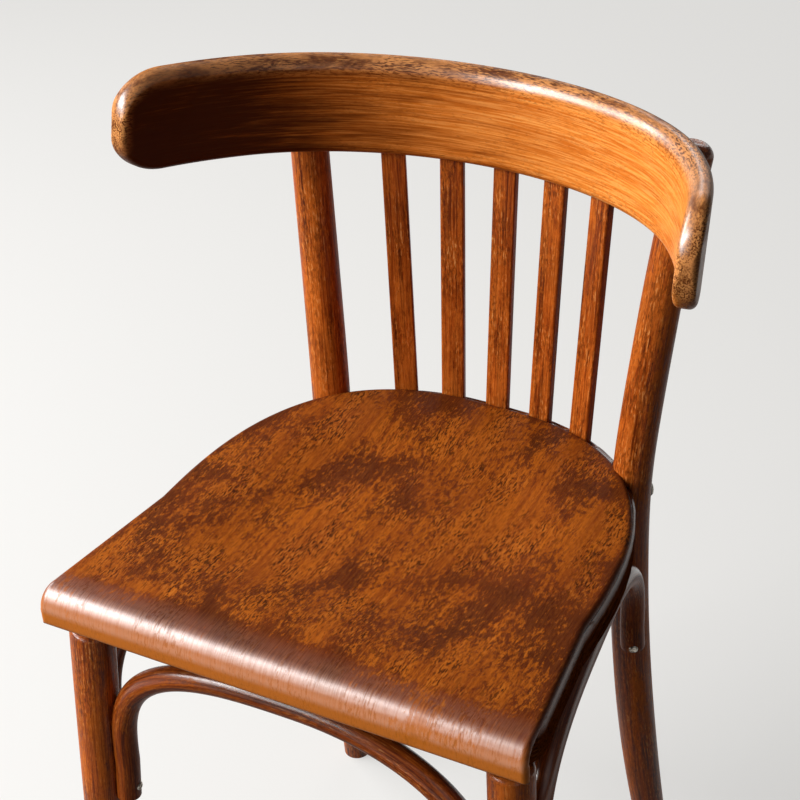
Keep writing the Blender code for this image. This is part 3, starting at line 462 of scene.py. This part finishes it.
def setVector(mesh, name, values):
    layer = mesh.attributes.new(name, "FLOAT_VECTOR", "POINT")
    layer.data.foreach_set("vector", np.asarray(values, np.float32).reshape(-1))


def cleanMesh(mesh, weld=0.0, outward=True):  # welds points closer than weld, turns faces outward
    work = bmesh.new()
    work.from_mesh(mesh)
    if weld:
        bmesh.ops.remove_doubles(work, verts=work.verts, dist=weld)
    if outward:
        bmesh.ops.recalc_face_normals(work, faces=work.faces)
    work.to_mesh(mesh)
    work.free()


def smoothMesh(mesh, angle=radians(40)):
    mesh.shade_smooth()
    mesh.set_sharp_from_angle(angle=angle)


def roundedShare(share):  # half width left at a share of the way to the back, and the other way round
    return (1 - share ** seat["exponent"]) ** (1 / seat["exponent"])


def planHalf(y):
    if y <= seat["curveY"]:
        share = (y - seat["frontY"]) / (seat["curveY"] - seat["frontY"])
        return between(seat["frontHalf"], seat["sideHalf"], share)
    return seat["sideHalf"] * roundedShare(min((y - seat["curveY"]) / (seat["backY"] - seat["curveY"]), 1.0))


def planBack(x):
    share = min(abs(x) / seat["sideHalf"], 1.0)
    return between(seat["curveY"], seat["backY"], roundedShare(share))


# seat panel

def makeSeatPanel(s):
    half = s["thickness"] / 2
    power = s["exponent"]
    wideHalf = s["sideHalf"]
    deep = s["backY"] - s["curveY"]
    bend = s["lipRadius"] - half
    rollY = s["frontY"] + s["lipRadius"]
    rows = []  # middle surface: y, z, normal in that plane, half width, run from the lip's edge
    fall = s["lipDrop"] - s["lipRadius"]
    for i in range(s["lipRows"]):
        share = i / s["lipRows"]
        y = s["frontY"] + half + s["lipLean"] * (1 - share)
        rows.append((y, -s["lipDrop"] + fall * share, (-1, 0), s["frontHalf"], fall * share))
    for i in range(s["rollRows"] + 1):
        a = pi / 2 * i / s["rollRows"]
        y = rollY - bend * cos(a)
        rows.append((y, -s["lipRadius"] + bend * sin(a), (-cos(a), sin(a)), planHalf(y), fall + bend * a))
    start = fall + bend * pi / 2
    for i in range(1, s["flatRows"] + 1):
        y = rollY + (s["curveY"] - rollY) * i / s["flatRows"]
        rows.append((y, -half, (0, 1), planHalf(y), start + y - rollY))
    for i in range(1, s["backRows"] + 1):
        a = s["lastTurn"] * i / s["backRows"]
        y = s["curveY"] + deep * sin(a) ** (2 / power)
        rows.append((y, -half, (0, 1), wideHalf * cos(a) ** (2 / power), start + y - rollY))
    k = np.arange(s["columns"] + 1) / s["columns"] * 2 - 1
    across = np.sin(pi / 2 * k * s["columnReach"]) / sin(pi / 2 * s["columnReach"])
    top, low, grain, rim, run = [], [], [], [], []
    for y, z, normal, wide, distance in rows:
        x = across * wide
        backGap = np.array([planBack(v) - y if y > s["curveY"] else 1.0 for v in x])
        share = np.clip((y - s["curveY"]) / deep, 0.0, 1.0)
        fx = power / wideHalf * (np.abs(x) / wideHalf) ** (power - 1)
        fy = power / deep * share ** (power - 1)
        field = 1 - (np.abs(x) / wideHalf) ** power - share ** power
        curved = np.maximum(field, 0) / np.maximum(np.hypot(fx, fy), 1e-6)
        gap = curved if y > s["curveY"] else wide - np.abs(x)
        gap = np.minimum(gap, distance)
        gap[0] = gap[-1] = 0.0
        if distance == 0.0:
            gap = np.zeros_like(gap)
        swell = half * np.sqrt(np.clip(1 - (1 - np.minimum(gap / half, 1.0)) ** 2, 0, 1))
        dip = -s["dishDepth"] * smoothStep((wide - np.abs(x) - s["dishRim"]) / s["dishRun"])
        dip = dip * smoothStep((backGap - s["dishRim"]) / s["dishRun"])
        dip = dip * smoothStep((y - s["frontY"] - s["lipRadius"] - s["dishRim"]) / s["dishRun"])
        for i in range(len(x)):
            top.append((x[i], y + normal[0] * swell[i], z + dip[i] + normal[1] * swell[i]))
            low.append((x[i], y - normal[0] * swell[i], z + dip[i] - normal[1] * swell[i]))
            grain.append((x[i], 0.0, distance))
            rim.append(gap[i])
            run.append(distance)
    wideCount = s["columns"] + 1
    count = len(top)
    faces = []
    for r in range(len(rows) - 1):
        for c in range(s["columns"]):
            a = r * wideCount + c
            faces.append((a, a + 1, a + 1 + wideCount, a + wideCount))
            faces.append((count + a, count + a + wideCount, count + a + 1 + wideCount, count + a + 1))
    last = (len(rows) - 1) * wideCount
    for c in range(s["columns"]):  # closes the last narrow row at the back
        faces.append((last + c, last + c + 1, count + last + c + 1, count + last + c))
    mesh = bpy.data.meshes.new("seatPanel")
    mesh.from_pydata(top + low, [], faces)
    setVector(mesh, "grain", grain + [(x, s["underGrain"], z) for x, y, z in grain])
    setFloat(mesh, "rim", rim + rim)
    setFloat(mesh, "run", run + run)
    cleanMesh(mesh, s["weld"])
    smoothMesh(mesh, s["smooth"])
    mesh.transform(seatPlace)
    return settle(mesh)


seatPiece = newPiece("seatPanel", makeSeatPanel(seat), seatMaterial, "seat_varnish", "seat_panel")
print("seat panel:", len(seatPiece.data.polygons), "faces")


# top rail

rail = {
    "bottomY": 0.1813, "bottomZ": 0.6743, "lean": radians(12.54), "height": 0.0767,
    "thickness": 0.0182, "endThickness": 0.0160, "thinStart": 0.200, "bendRadius": 0.2007,
    "bendAngle": radians(58.0), "endRadius": 0.358, "left": 0.3189, "right": 0.3384,
    "cornerRise": 0.0315, "topCorner": 0.0425, "bottomLeft": 0.042, "bottomRight": 0.032,
    "edge": 0.0055, "innerTopRound": 0.0122, "leastRound": 0.0006, "leastFlat": 0.0002,
    "wearBelow": 0.014, "wearAtEnds": 0.004, "smooth": radians(60),
    "steps": 220, "cornerSteps": 30, "endSteps": 8, "lastTurn": radians(88), "arcSteps": 8, "flatSteps": 10,
}
railPlace = (Matrix.Translation((0, rail["bottomY"], rail["bottomZ"]))
             @ Matrix.Rotation(-rail["lean"], 4, "X"))


def railStation(distance):
    side = 1 if distance >= 0 else -1
    turn = min(abs(distance) / rail["bendRadius"], rail["bendAngle"])
    x = rail["bendRadius"] * sin(turn)
    y = -rail["bendRadius"] * (1 - cos(turn))
    rest = abs(distance) - rail["bendRadius"] * rail["bendAngle"]
    if rest > 0:
        last = turn + rest / rail["endRadius"]
        x += rail["endRadius"] * (sin(last) - sin(turn))
        y -= rail["endRadius"] * (cos(turn) - cos(last))
        turn = last
    return side * x, y, side * turn


def railPoint(distance, depth, height):
    x, y, turn = railStation(distance)
    return Vector((x + depth * sin(turn), y + depth * cos(turn), height))


def railReach(distance):  # the board was fixed a little off its middle
    return rail["right"] if distance > 0 else rail["left"]


def railThickness(distance):
    share = (abs(distance) - rail["thinStart"]) / (railReach(distance) - rail["thinStart"])
    return between(rail["thickness"], rail["endThickness"], float(smoothStep(share)))


def roundedSection(low, high, near, far, radius, innerTop, arcSteps, flatSteps):
    points = []
    corners = ((near + radius, low + radius, pi, radius),
               (far - radius, low + radius, 1.5 * pi, radius),
               (far - radius, high - radius, 0.0, radius),
               (near + innerTop, high - innerTop, 0.5 * pi, innerTop))
    for across, up, start, radius in corners:
        for i in range(arcSteps + 1):
            a = start + pi / 2 * i / arcSteps
            points.append((across + radius * cos(a), up + radius * sin(a)))
    full = []
    for i, point in enumerate(points):  # adds points along the flats
        after = points[(i + 1) % len(points)]
        full.append(point)
        if (i + 1) % (arcSteps + 1) == 0:
            for j in range(1, flatSteps):
                full.append([between(here, there, j / flatSteps) for here, there in zip(point, after)])
    return full


def makeTopRail(r):
    edge = r["edge"]
    distances = [0.0]
    for reach, side in ((r["right"], 1), (r["left"], -1)):
        flat = reach - r["topCorner"]
        half = [flat * i / (r["steps"] / 2) for i in range(1, r["steps"] // 2)]
        for i in range(r["cornerSteps"]):
            half.append(flat + (reach - edge - flat) * sin(pi / 2 * i / r["cornerSteps"]))
        for i in range(r["endSteps"] + 1):
            half.append(reach - edge + edge * sin(r["lastTurn"] * i / r["endSteps"]))
        distances = distances + half if side > 0 else [-d for d in reversed(half)] + distances

    def cornerDrop(distance, length):
        into = min(max((abs(distance) - (railReach(distance) - length)) / length, 0.0), 1.0)
        return r["cornerRise"] * (1 - sqrt(1 - into ** 2))

    points, grain, edges, inner, run, count = [], [], [], [], [], 0
    for distance in distances:
        reach = railReach(distance)
        into = max(abs(distance) - (reach - edge), 0.0)
        inset = edge - sqrt(max(edge ** 2 - into ** 2, 0.0))
        low = cornerDrop(distance, r["bottomRight"] if distance > 0 else r["bottomLeft"]) + inset
        high = r["height"] - cornerDrop(distance, r["topCorner"]) - inset
        thick = railThickness(distance)
        radius = max(edge - inset, r["leastRound"])
        innerTop = min(r["innerTopRound"] - inset, thick - 2 * inset - radius - r["leastFlat"])
        innerTop = max(innerTop, r["leastRound"])
        section = roundedSection(low, high, inset, thick - inset, radius, innerTop,
                                 r["arcSteps"], r["flatSteps"])
        count = len(section)
        for depth, height in section:
            points.append(railPoint(distance, depth, height))
            grain.append((height, depth, distance))
            edges.append(min(high - height, height - low + r["wearBelow"],
                             reach - abs(distance) + r["wearAtEnds"]))
            inner.append(1.0 - smoothStep((depth / thick - 0.25) / 0.5))
            run.append(distance)
    faces = []
    for i in range(len(distances) - 1):
        for j in range(count):
            k = (j + 1) % count
            faces.append((i * count + j, i * count + k, (i + 1) * count + k, (i + 1) * count + j))
    faces.append(tuple(reversed(range(count))))
    faces.append(tuple(range((len(distances) - 1) * count, len(distances) * count)))
    mesh = bpy.data.meshes.new("topRail")
    mesh.from_pydata(points, [], faces)
    setVector(mesh, "grain", grain)
    setFloat(mesh, "edge", edges)
    setFloat(mesh, "inner", inner)
    setFloat(mesh, "run", run)
    cleanMesh(mesh)
    smoothMesh(mesh, r["smooth"])
    mesh.transform(railPlace)
    return settle(mesh)


railPiece = newPiece("topRail", makeTopRail(rail), railMaterial, "rail_varnish", "top_rail")
print("top rail:", len(railPiece.data.polygons), "faces")


# round bars: a Geometry Nodes tree sweeps a circle along each path

def newShapeTree(name, inputs):
    return newGroup(name, [("Geometry", "Geometry", None)] + inputs, [("Geometry", "Geometry")],
                    "GeometryNodeTree")


def endTree(tree, geometry, material, out):  # the last two nodes of every shape tree
    real = plug(tree, "GeometryNodeRealizeInstances", {"Geometry": geometry}).outputs[0]
    dressed = plug(tree, "GeometryNodeSetMaterial", {"Geometry": real, "Material": material}).outputs[0]
    tree.links.new(dressed, out["Geometry"])


def store(tree, geometry, name, value, kind="FLOAT"):
    return plug(tree, "GeometryNodeStoreNamedAttribute", {"Geometry": geometry, "Name": name, "Value": value},
                data_type=kind, domain="POINT").outputs[0]


def recall(tree, name, kind="FLOAT"):
    return plug(tree, "GeometryNodeInputNamedAttribute", {"Name": name}, data_type=kind).outputs[0]


def storeSection(tree, section):  # keeps each point's place in the section for the grain
    place = plug(tree, "GeometryNodeInputPosition").outputs[0]
    return store(tree, section, "ring", place, "FLOAT_VECTOR")


def recallSection(tree):
    return plug(tree, "ShaderNodeSeparateXYZ", {0: recall(tree, "ring", "FLOAT_VECTOR")}).outputs


def storeLength(tree, path):
    return store(tree, path, "along", plug(tree, "GeometryNodeSplineParameter").outputs["Length"])


def makeBarTree():
    tree, given, out = newShapeTree("sweptBar", [("Sides", "Int", 48), ("Pattern Start", "Vector", (0, 0, 0)),
                                                 ("Finish", "Material", None)])
    path = storeLength(tree, given["Geometry"])
    path = store(tree, path, "size", plug(tree, "GeometryNodeInputRadius").outputs[0])
    ring = plug(tree, "GeometryNodeCurvePrimitiveCircle", {"Resolution": given["Sides"]}).outputs[0]
    size = recall(tree, "size")
    swept = plug(tree, "GeometryNodeCurveToMesh", {"Curve": path, "Profile Curve": storeSection(tree, ring),
                                                   "Scale": size, "Fill Caps": True}).outputs[0]
    parts = recallSection(tree)
    spot = combine(tree, times(tree, parts[0], size), times(tree, parts[1], size), recall(tree, "along"))
    spot = vectorMaths(tree, "ADD", spot, given["Pattern Start"])
    swept = store(tree, swept, "grain", spot, "FLOAT_VECTOR")
    endTree(tree, swept, given["Finish"], out)
    return tree


barTree = makeBarTree()


def applyTree(source, tree, values):  # runs a shape tree on a curve or mesh, gives the plain mesh back
    modifier = source.modifiers.new("shape", "NODES")
    modifier.node_group = tree
    for item in tree.interface.items_tree:
        if item.item_type == "SOCKET" and item.in_out == "INPUT" and item.name in values:
            modifier[item.identifier] = values[item.name]
    deck.collection.objects.link(source)
    bpy.context.view_layer.update()
    mesh = bpy.data.meshes.new_from_object(source.evaluated_get(bpy.context.evaluated_depsgraph_get()))
    source.modifiers.remove(modifier)
    bpy.data.objects.remove(source)
    return mesh


def pathCurve(name, path, radii):
    data = bpy.data.curves.new(name, "CURVE")
    data.dimensions = "3D"
    spline = data.splines.new("POLY")
    spline.points.add(len(path) - 1)
    for point, place, size in zip(spline.points, path, radii):
        point.co = (*place, 1.0)
        point.radius = size
    return bpy.data.objects.new(name, data)


def sweepBar(name, path, radii, sides, patternStart, material):
    mesh = applyTree(pathCurve(name, path, radii), barTree,
                     {"Sides": sides, "Pattern Start": patternStart, "Finish": material})
    work = bmesh.new()
    work.from_mesh(mesh)
    if min(v.co.z for v in work.verts) < 0:  # a foot is sawn flat where it stands
        done = bmesh.ops.bisect_plane(work, geom=work.verts[:] + work.edges[:] + work.faces[:],
                                      plane_co=(0, 0, 0), plane_no=(0, 0, 1), clear_inner=True)
        rim = [item for item in done["geom_cut"] if isinstance(item, bmesh.types.BMEdge)]
        bmesh.ops.contextual_create(work, geom=rim)
    bmesh.ops.recalc_face_normals(work, faces=work.faces)
    work.to_mesh(mesh)
    work.free()
    smoothMesh(mesh)
    return settle(mesh)


hoop = {"height": 0.0345, "gap": 0.0003, "weld": 0.000002, "smooth": radians(30),
        "centre": (0, -0.02, 0.44), "meanRadius": 0.17}


def hoopBottom(y):
    return seatWorld(0, y, -seat["thickness"] - hoop["gap"] - hoop["height"]).z


frontLeg = {
    "top": (0.1725, -0.1745), "foot": (0.1874, -0.1924), "topSize": 0.0345, "footSize": 0.025,
    "shoulder": 0.004, "shoulderSteps": 7, "taperPower": 1.6, "tenonSize": 0.016, "tenonLength": 0.026,
    "step": 0.00005, "below": 0.002, "topGap": 0.001, "steps": 90, "sides": 64,
}
legTop = hoopBottom(frontLeg["top"][1]) - frontLeg["topGap"] - hoop["gap"]


def frontLegAxis(side, z):
    share = (legTop - z) / legTop
    x, y = [between(top, foot, share) for top, foot in zip(frontLeg["top"], frontLeg["foot"])]
    return Vector((side * x, y, z))


def frontLegRadius(z):
    taper = max((legTop - z) / legTop, 0.0) ** frontLeg["taperPower"]
    return between(frontLeg["topSize"], frontLeg["footSize"], taper) / 2


def makeFrontLeg(side, word, patternStart):
    leg = frontLeg
    path = [frontLegAxis(side, legTop + leg["tenonLength"]), frontLegAxis(side, legTop)]
    radii = [leg["tenonSize"] / 2, leg["tenonSize"] / 2]
    rounding = leg["shoulder"]
    for i in range(leg["shoulderSteps"] + 1):
        a = pi / 2 * i / leg["shoulderSteps"]
        z = legTop - rounding * (1 - cos(a)) - leg["step"]
        path.append(frontLegAxis(side, z))
        radii.append(frontLegRadius(z) - rounding * (1 - sin(a)))
    for i in range(1, leg["steps"] + 1):
        z = (legTop - rounding) * (1 - i / leg["steps"]) - leg["below"] * (i == leg["steps"])
        path.append(frontLegAxis(side, z))
        radii.append(frontLegRadius(z))
    mesh = sweepBar("frontLeg", path, radii, leg["sides"], patternStart, postMaterial)
    return newPiece("frontLeg_" + word, mesh, postMaterial, "frame_varnish", "front_leg_" + word)


post = {
    "atSeat": (0.1335, 0.1325), "slopeOut": 0.0943, "slopeBack": 0.1006, "bend": 0.045,
    "footOut": 0.0224, "footBack": 0.048, "topZ": 0.743, "topSize": 0.0300, "seatSize": 0.0317,
    "topBendZ": 0.600, "topOut": 0.0025, "topBack": 0.0047,
    "footSize": 0.0245, "taperZ": 0.215, "dome": 0.010, "domeSteps": 9, "domeTurn": radians(88),
    "below": 0.004, "steps": 150, "sides": 64,
}
postSeatZ = seat["height"] - post["atSeat"][1] * tan(seat["tilt"])


def postAxis(side, z):
    above = z - postSeatZ
    ramp = (above + sqrt(above * above + post["bend"] ** 2)) / 2
    below = max(-above, 0.0) / postSeatZ
    top = max(z - post["topBendZ"], 0.0) / (post["topZ"] - post["topBendZ"])
    out = post["slopeOut"] * ramp + post["footOut"] * below ** 2 + post["topOut"] * top ** 2
    back = post["slopeBack"] * ramp + post["footBack"] * below ** 2 + post["topBack"] * top ** 2
    return Vector((side * (post["atSeat"][0] + out), post["atSeat"][1] + back, z))


def postRadius(z):
    if z > postSeatZ:
        share = (z - postSeatZ) / (post["topZ"] - postSeatZ)
        return between(post["seatSize"], post["topSize"], share) / 2
    share = float(smoothStep((post["taperZ"] - z) / post["taperZ"] * 0.5)) * 2
    return between(post["seatSize"], post["footSize"], share) / 2


def makeBackPost(side, word, patternStart):
    shoulder = post["topZ"] - post["dome"]
    below = post["below"]
    heights = [(shoulder + below) * i / post["steps"] - below for i in range(post["steps"] + 1)]
    path = [postAxis(side, z) for z in heights]
    radii = [postRadius(z) for z in heights]
    for i in range(1, post["domeSteps"] + 1):
        a = post["domeTurn"] * i / post["domeSteps"]
        path.append(postAxis(side, shoulder + post["dome"] * sin(a)))
        radii.append(postRadius(shoulder) - post["dome"] * (1 - cos(a)))
    mesh = sweepBar("backPost", path, radii, post["sides"], patternStart, postMaterial)
    return newPiece("backPost_" + word, mesh, postMaterial, "frame_varnish", "back_post_" + word)


bow = {
    "size": 0.020, "frontEnd": 0.262, "rearEnd": 0.296, "sideExponent": 2.9, "sideRunTop": 0.320,
    "sideCrownShare": 0.35, "sideLetIn": 0.0015, "frontSwing": radians(13), "rearSwing": radians(27),
    "leftExponent": 2.94, "rightExponent": 2.19, "frontRunTop": 0.3007, "frontBack": 0.0033,
    "frontDrop": 0.002, "frontLetIn": 0.0046,
    "steps": 120, "runs": 14, "sides": 40, "endRound": 0.003,
}


def besideLeg(axis, radius, side, away, letIn, z):
    reach = radius(z) + bow["size"] / 2 - letIn
    centre = axis(side, z)
    return Vector((centre.x + away[0] * reach, centre.y + away[1] * reach, z))


def besideFront(side):
    back = Vector((0, bow["frontBack"], 0))
    return lambda z: besideLeg(frontLegAxis, frontLegRadius, side, (-side, 0), bow["frontLetIn"], z) + back


def besideSideFront(side):
    away = (side * sin(bow["frontSwing"]), cos(bow["frontSwing"]))
    return lambda z: besideLeg(frontLegAxis, frontLegRadius, side, away, bow["sideLetIn"], z)


def besideSideRear(side):
    away = (side * sin(bow["rearSwing"]), -cos(bow["rearSwing"]))
    return lambda z: besideLeg(postAxis, postRadius, side, away, bow["sideLetIn"], z)


def bowPath(nearA, nearB, endA, endB, runTop, crown, exponentA, exponentB):
    a = nearA(runTop)
    b = nearB(runTop)
    runs = bow["runs"]
    path = [nearA(endA + (runTop - endA) * i / runs) for i in range(runs)]
    for i in range(bow["steps"] + 1):
        turn = pi * i / bow["steps"]
        power = 2 / (exponentA if i * 2 < bow["steps"] else exponentB)
        reach = abs(cos(turn)) ** power * (1 if cos(turn) >= 0 else -1)
        point = a.lerp(b, (1 - reach) / 2)
        point.z = runTop + (crown - runTop) * abs(sin(turn)) ** power
        path.append(point)
    path += [nearB(runTop + (endB - runTop) * i / runs) for i in range(1, runs + 1)]
    return path


def makeBow(name, path, patternStart, node):
    lengths = [0.0]
    for one, two in zip(path, path[1:]):
        lengths.append(lengths[-1] + (two - one).length)
    radii = []
    for distance in lengths:  # the sawn ends are eased over
        into = bow["endRound"] - min(distance, lengths[-1] - distance)
        ease = bow["endRound"] - sqrt(max(bow["endRound"] ** 2 - max(into, 0.0) ** 2, 0.0))
        radii.append(bow["size"] / 2 - ease)
    mesh = sweepBar(name, path, radii, bow["sides"], patternStart, bowMaterial)
    return newPiece(name, mesh, bowMaterial, "frame_varnish", node)


def frontBowPath():
    crown = hoopBottom(besideFront(1)(bow["frontRunTop"]).y)
    crown = crown - bow["size"] / 2 - hoop["gap"] - bow["frontDrop"]
    return bowPath(besideFront(-1), besideFront(1), bow["frontEnd"], bow["frontEnd"], bow["frontRunTop"],
                   crown, bow["leftExponent"], bow["rightExponent"])


def sideBowPath(side):
    front = besideSideFront(side)
    rear = besideSideRear(side)
    frontY = front(bow["sideRunTop"]).y
    rearY = rear(bow["sideRunTop"]).y
    middle = (frontY + rearY) / 2 + bow["sideCrownShare"] * (rearY - frontY) / 2
    crown = hoopBottom(middle) - bow["size"] / 2 - hoop["gap"]
    return bowPath(front, rear, bow["frontEnd"], bow["rearEnd"], bow["sideRunTop"], crown,
                   bow["sideExponent"], bow["sideExponent"])


for side, word, start in ((-1, "left", 0.0), (1, "right", 3.0)):
    makeFrontLeg(side, word, (start + 1.3, 0.4, 0.7))
    makeBackPost(side, word, (start + 5.1, 1.2, 0.3))
    makeBow("sideBow_" + word, sideBowPath(side), (start + 8.4, 2.2, 1.1), "side_bow_" + word)
makeBow("frontBow", frontBowPath(), (12.6, 3.1, 0.2), "front_bow")
print("posts, legs and bows swept")


# slats: one tree sweeps a rounded board along five lines

slat = {
    "count": 5, "width": 0.0192, "thickness": 0.008, "seatSpacing": 0.0388, "railSpacing": 0.0446,
    "seatTenon": 0.014, "railTenon": 0.010, "edge": 0.0018, "gap": 0.0005, "turnShare": 0.9,
    "grainStep": 0.37,
}


def slatEnds(index):
    step = index - (slat["count"] - 1) / 2
    seatX = step * slat["seatSpacing"]
    seatY = planBack(seatX) + slat["thickness"] / 2 + slat["gap"]
    low = seatWorld(seatX, seatY, -seat["thickness"] - hoop["gap"] - slat["seatTenon"])
    turn = asin(step * slat["railSpacing"] / (rail["bendRadius"] + rail["thickness"] / 2))
    high = railPlace @ railPoint(turn * rail["bendRadius"], rail["thickness"] / 2, slat["railTenon"])
    return low, high, turn * slat["turnShare"]


def makeSlatTree():
    tree, given, out = newShapeTree("slatBoard", [("Width", "Float", 0.02), ("Thickness", "Float", 0.008),
                                                  ("Edge", "Float", 0.0015), ("Segments", "Int", 24),
                                                  ("Finish", "Material", None)])
    lines = plug(tree, "GeometryNodeMeshToCurve", {"Mesh": given["Geometry"]}).outputs[0]
    fine = plug(tree, "GeometryNodeResampleCurve", {"Curve": lines, "Count": given["Segments"]},
                mode="COUNT").outputs[0]
    face = recall(tree, "face", "FLOAT_VECTOR")
    fine = plug(tree, "GeometryNodeSetCurveNormal", {"Curve": fine, "Normal": face}, mode="FREE").outputs[0]
    board = plug(tree, "GeometryNodeCurvePrimitiveQuadrilateral",
                 {"Width": given["Thickness"], "Height": given["Width"]}, mode="RECTANGLE").outputs[0]
    board = plug(tree, "GeometryNodeFilletCurve", {"Curve": board, "Radius": given["Edge"], "Count": 4},
                 mode="POLY").outputs[0]
    swept = plug(tree, "GeometryNodeCurveToMesh", {"Curve": storeLength(tree, fine), "Fill Caps": True,
                                                   "Profile Curve": storeSection(tree, board)}).outputs[0]
    parts = recallSection(tree)
    apart = times(tree, recall(tree, "board"), slat["grainStep"])  # so that no two slats share their grain
    spot = combine(tree, plus(tree, parts[0], apart), parts[1], plus(tree, recall(tree, "along"), apart))
    swept = store(tree, swept, "grain", spot, "FLOAT_VECTOR")
    endTree(tree, swept, given["Finish"], out)
    return tree


def makeSlats(s):
    ends = [slatEnds(i) for i in range(s["count"])]
    lines = bpy.data.meshes.new("slatLines")
    lines.from_pydata([point for low, high, turn in ends for point in (low, high)],
                      [(2 * i, 2 * i + 1) for i in range(s["count"])], [])
    setVector(lines, "face", [(-sin(turn), -cos(turn), 0) for low, high, turn in ends for j in (0, 1)])
    setFloat(lines, "board", [i + 1 for i in range(s["count"]) for j in (0, 1)])
    mesh = applyTree(bpy.data.objects.new("slatLines", lines), makeSlatTree(),
                     {"Width": s["width"], "Thickness": s["thickness"], "Edge": s["edge"],
                      "Finish": postMaterial})
    cleanMesh(mesh)
    smoothMesh(mesh)
    names = ["slat_" + str(i + 1) for i in range(s["count"])]
    return newPiece("slats", settle(mesh), postMaterial, "frame_varnish", *names)


slatPiece = makeSlats(slat)
print("slats:", len(slatPiece.data.polygons), "faces")


# seat hoop: the CAD's own shape with its joints, smoothed, with grain that runs round it

def makeHoop():
    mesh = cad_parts["seat_hoop"].data.copy()
    cleanMesh(mesh, hoop["weld"], outward=False)
    smoothMesh(mesh, hoop["smooth"])
    centre = Vector(hoop["centre"])
    grain = []
    for v in mesh.vertices:
        offset = v.co - centre
        grain.append((hypot(offset.x, offset.y), offset.z, atan2(offset.x, offset.y) * hoop["meanRadius"]))
    if mesh.attributes.get("grain"):
        mesh.attributes.remove(mesh.attributes["grain"])
    setVector(mesh, "grain", grain)
    return newPiece("seatHoop", mesh, hoopMaterial, "frame_varnish", "seat_hoop")


makeHoop()


# screws, bolts and nuts: the CAD's own solids in old steel

for name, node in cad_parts.items():
    if any(word in name for word in ("screw", "bolt", "nut")):
        node.data.materials.clear()
        node.data.materials.append(steelMaterial)


# floor, lamps and camera

studio = {
    "aim": (0.002102, 0.0, 0.575105), "turn": 28.3, "lift": 34.851, "roll": -2.052,
    "distance": 1.619853, "focal": 2198.327, "pixels": 800, "sensor": 36.0, "farthest": 40,
    "floorHalf": 40.0, "floorSeen": tint(150, 149, 147), "floorBounce": tint(64, 62, 60),
    "floorGlow": tint(186, 185, 183), "lampAim": (0, 0, 0.5),
    "sky": 0.05, "skyColour": (0.92, 0.95, 1.0, 1.0),
}

lamps = {  # name: direction from the chair, distance, width, height, power
    "key": ((-0.61, -0.46, 0.65), 2.4, 1.5, 1.4, 84.0),
    "window": ((-0.86, 0.14, 0.46), 2.4, 1.5, 0.8, 36.0),
    "front": ((-0.42, -0.84, 0.34), 2.4, 1.3, 0.7, 11.0),
    "fill": ((0.75, -0.45, 0.48), 2.6, 1.6, 1.6, 1.8),
    "rear": ((-0.15, 0.95, 0.24), 3.2, 1.8, 0.9, 12.0),
}


def makeFloor(s):
    mesh = bpy.data.meshes.new("floor")
    work = bmesh.new()
    bmesh.ops.create_grid(work, x_segments=1, y_segments=1, size=s["floorHalf"])
    work.to_mesh(mesh)
    work.free()
    made = addObject("floor", mesh)
    material, tree, shader = startMaterial("paleFloor")
    path = plug(tree, "ShaderNodeLightPath").outputs
    seen = maths(tree, "MAXIMUM", path["Is Camera Ray"], path["Is Glossy Ray"])
    seen = maths(tree, "MAXIMUM", seen, path["Is Transmission Ray"])
    colour = blendColour(tree, seen, s["floorBounce"], s["floorSeen"])
    glow = blendColour(tree, seen, (0, 0, 0, 1), s["floorGlow"])
    fill(tree, shader.inputs, {"Base Color": colour, "Emission Color": glow, "Emission Strength": 1.0,
                               "Roughness": 0.9, "Specular IOR Level": 0.1})
    mesh.materials.append(material)


def makeLamp(name, direction, distance, width, height, power, target):
    data = bpy.data.lights.new(name, "AREA")
    data.shape = "RECTANGLE"
    data.size = width
    data.size_y = height
    data.energy = power
    made = addObject(name, data)
    made.location = target + Vector(direction).normalized() * distance
    made.rotation_euler = (made.location - target).to_track_quat("Z", "Y").to_euler()


def makeCamera(s):
    turn, lift, roll = radians(s["turn"]), radians(s["lift"]), radians(s["roll"])
    back = Vector((sin(turn) * cos(lift), -cos(turn) * cos(lift), sin(lift)))
    right = (-back).cross(Vector((0, 0, 1))).normalized()
    up = back.cross(right)
    right, up = right * cos(roll) + up * sin(roll), up * cos(roll) - right * sin(roll)
    place = Matrix((right, up, back)).transposed().to_4x4()
    place.translation = Vector(s["aim"]) + shift + back * s["distance"]
    data = bpy.data.cameras.new("camera")
    data.sensor_width = s["sensor"]
    data.lens = s["focal"] / s["pixels"] * s["sensor"]
    data.clip_end = s["farthest"]
    made = addObject("camera", data)
    made.matrix_world = place
    deck.camera = made


makeFloor(studio)
middle = shift + Vector(studio["lampAim"])
for name, values in lamps.items():
    makeLamp(name, *values, middle)
makeCamera(studio)
sky = bpy.data.worlds.new("studio")
sky.use_nodes = True
fill(sky.node_tree, sky.node_tree.nodes["Background"].inputs,
     {"Color": studio["skyColour"], "Strength": studio["sky"]})
deck.world = sky
deck.view_settings.view_transform = "Standard"
print("studio ready")
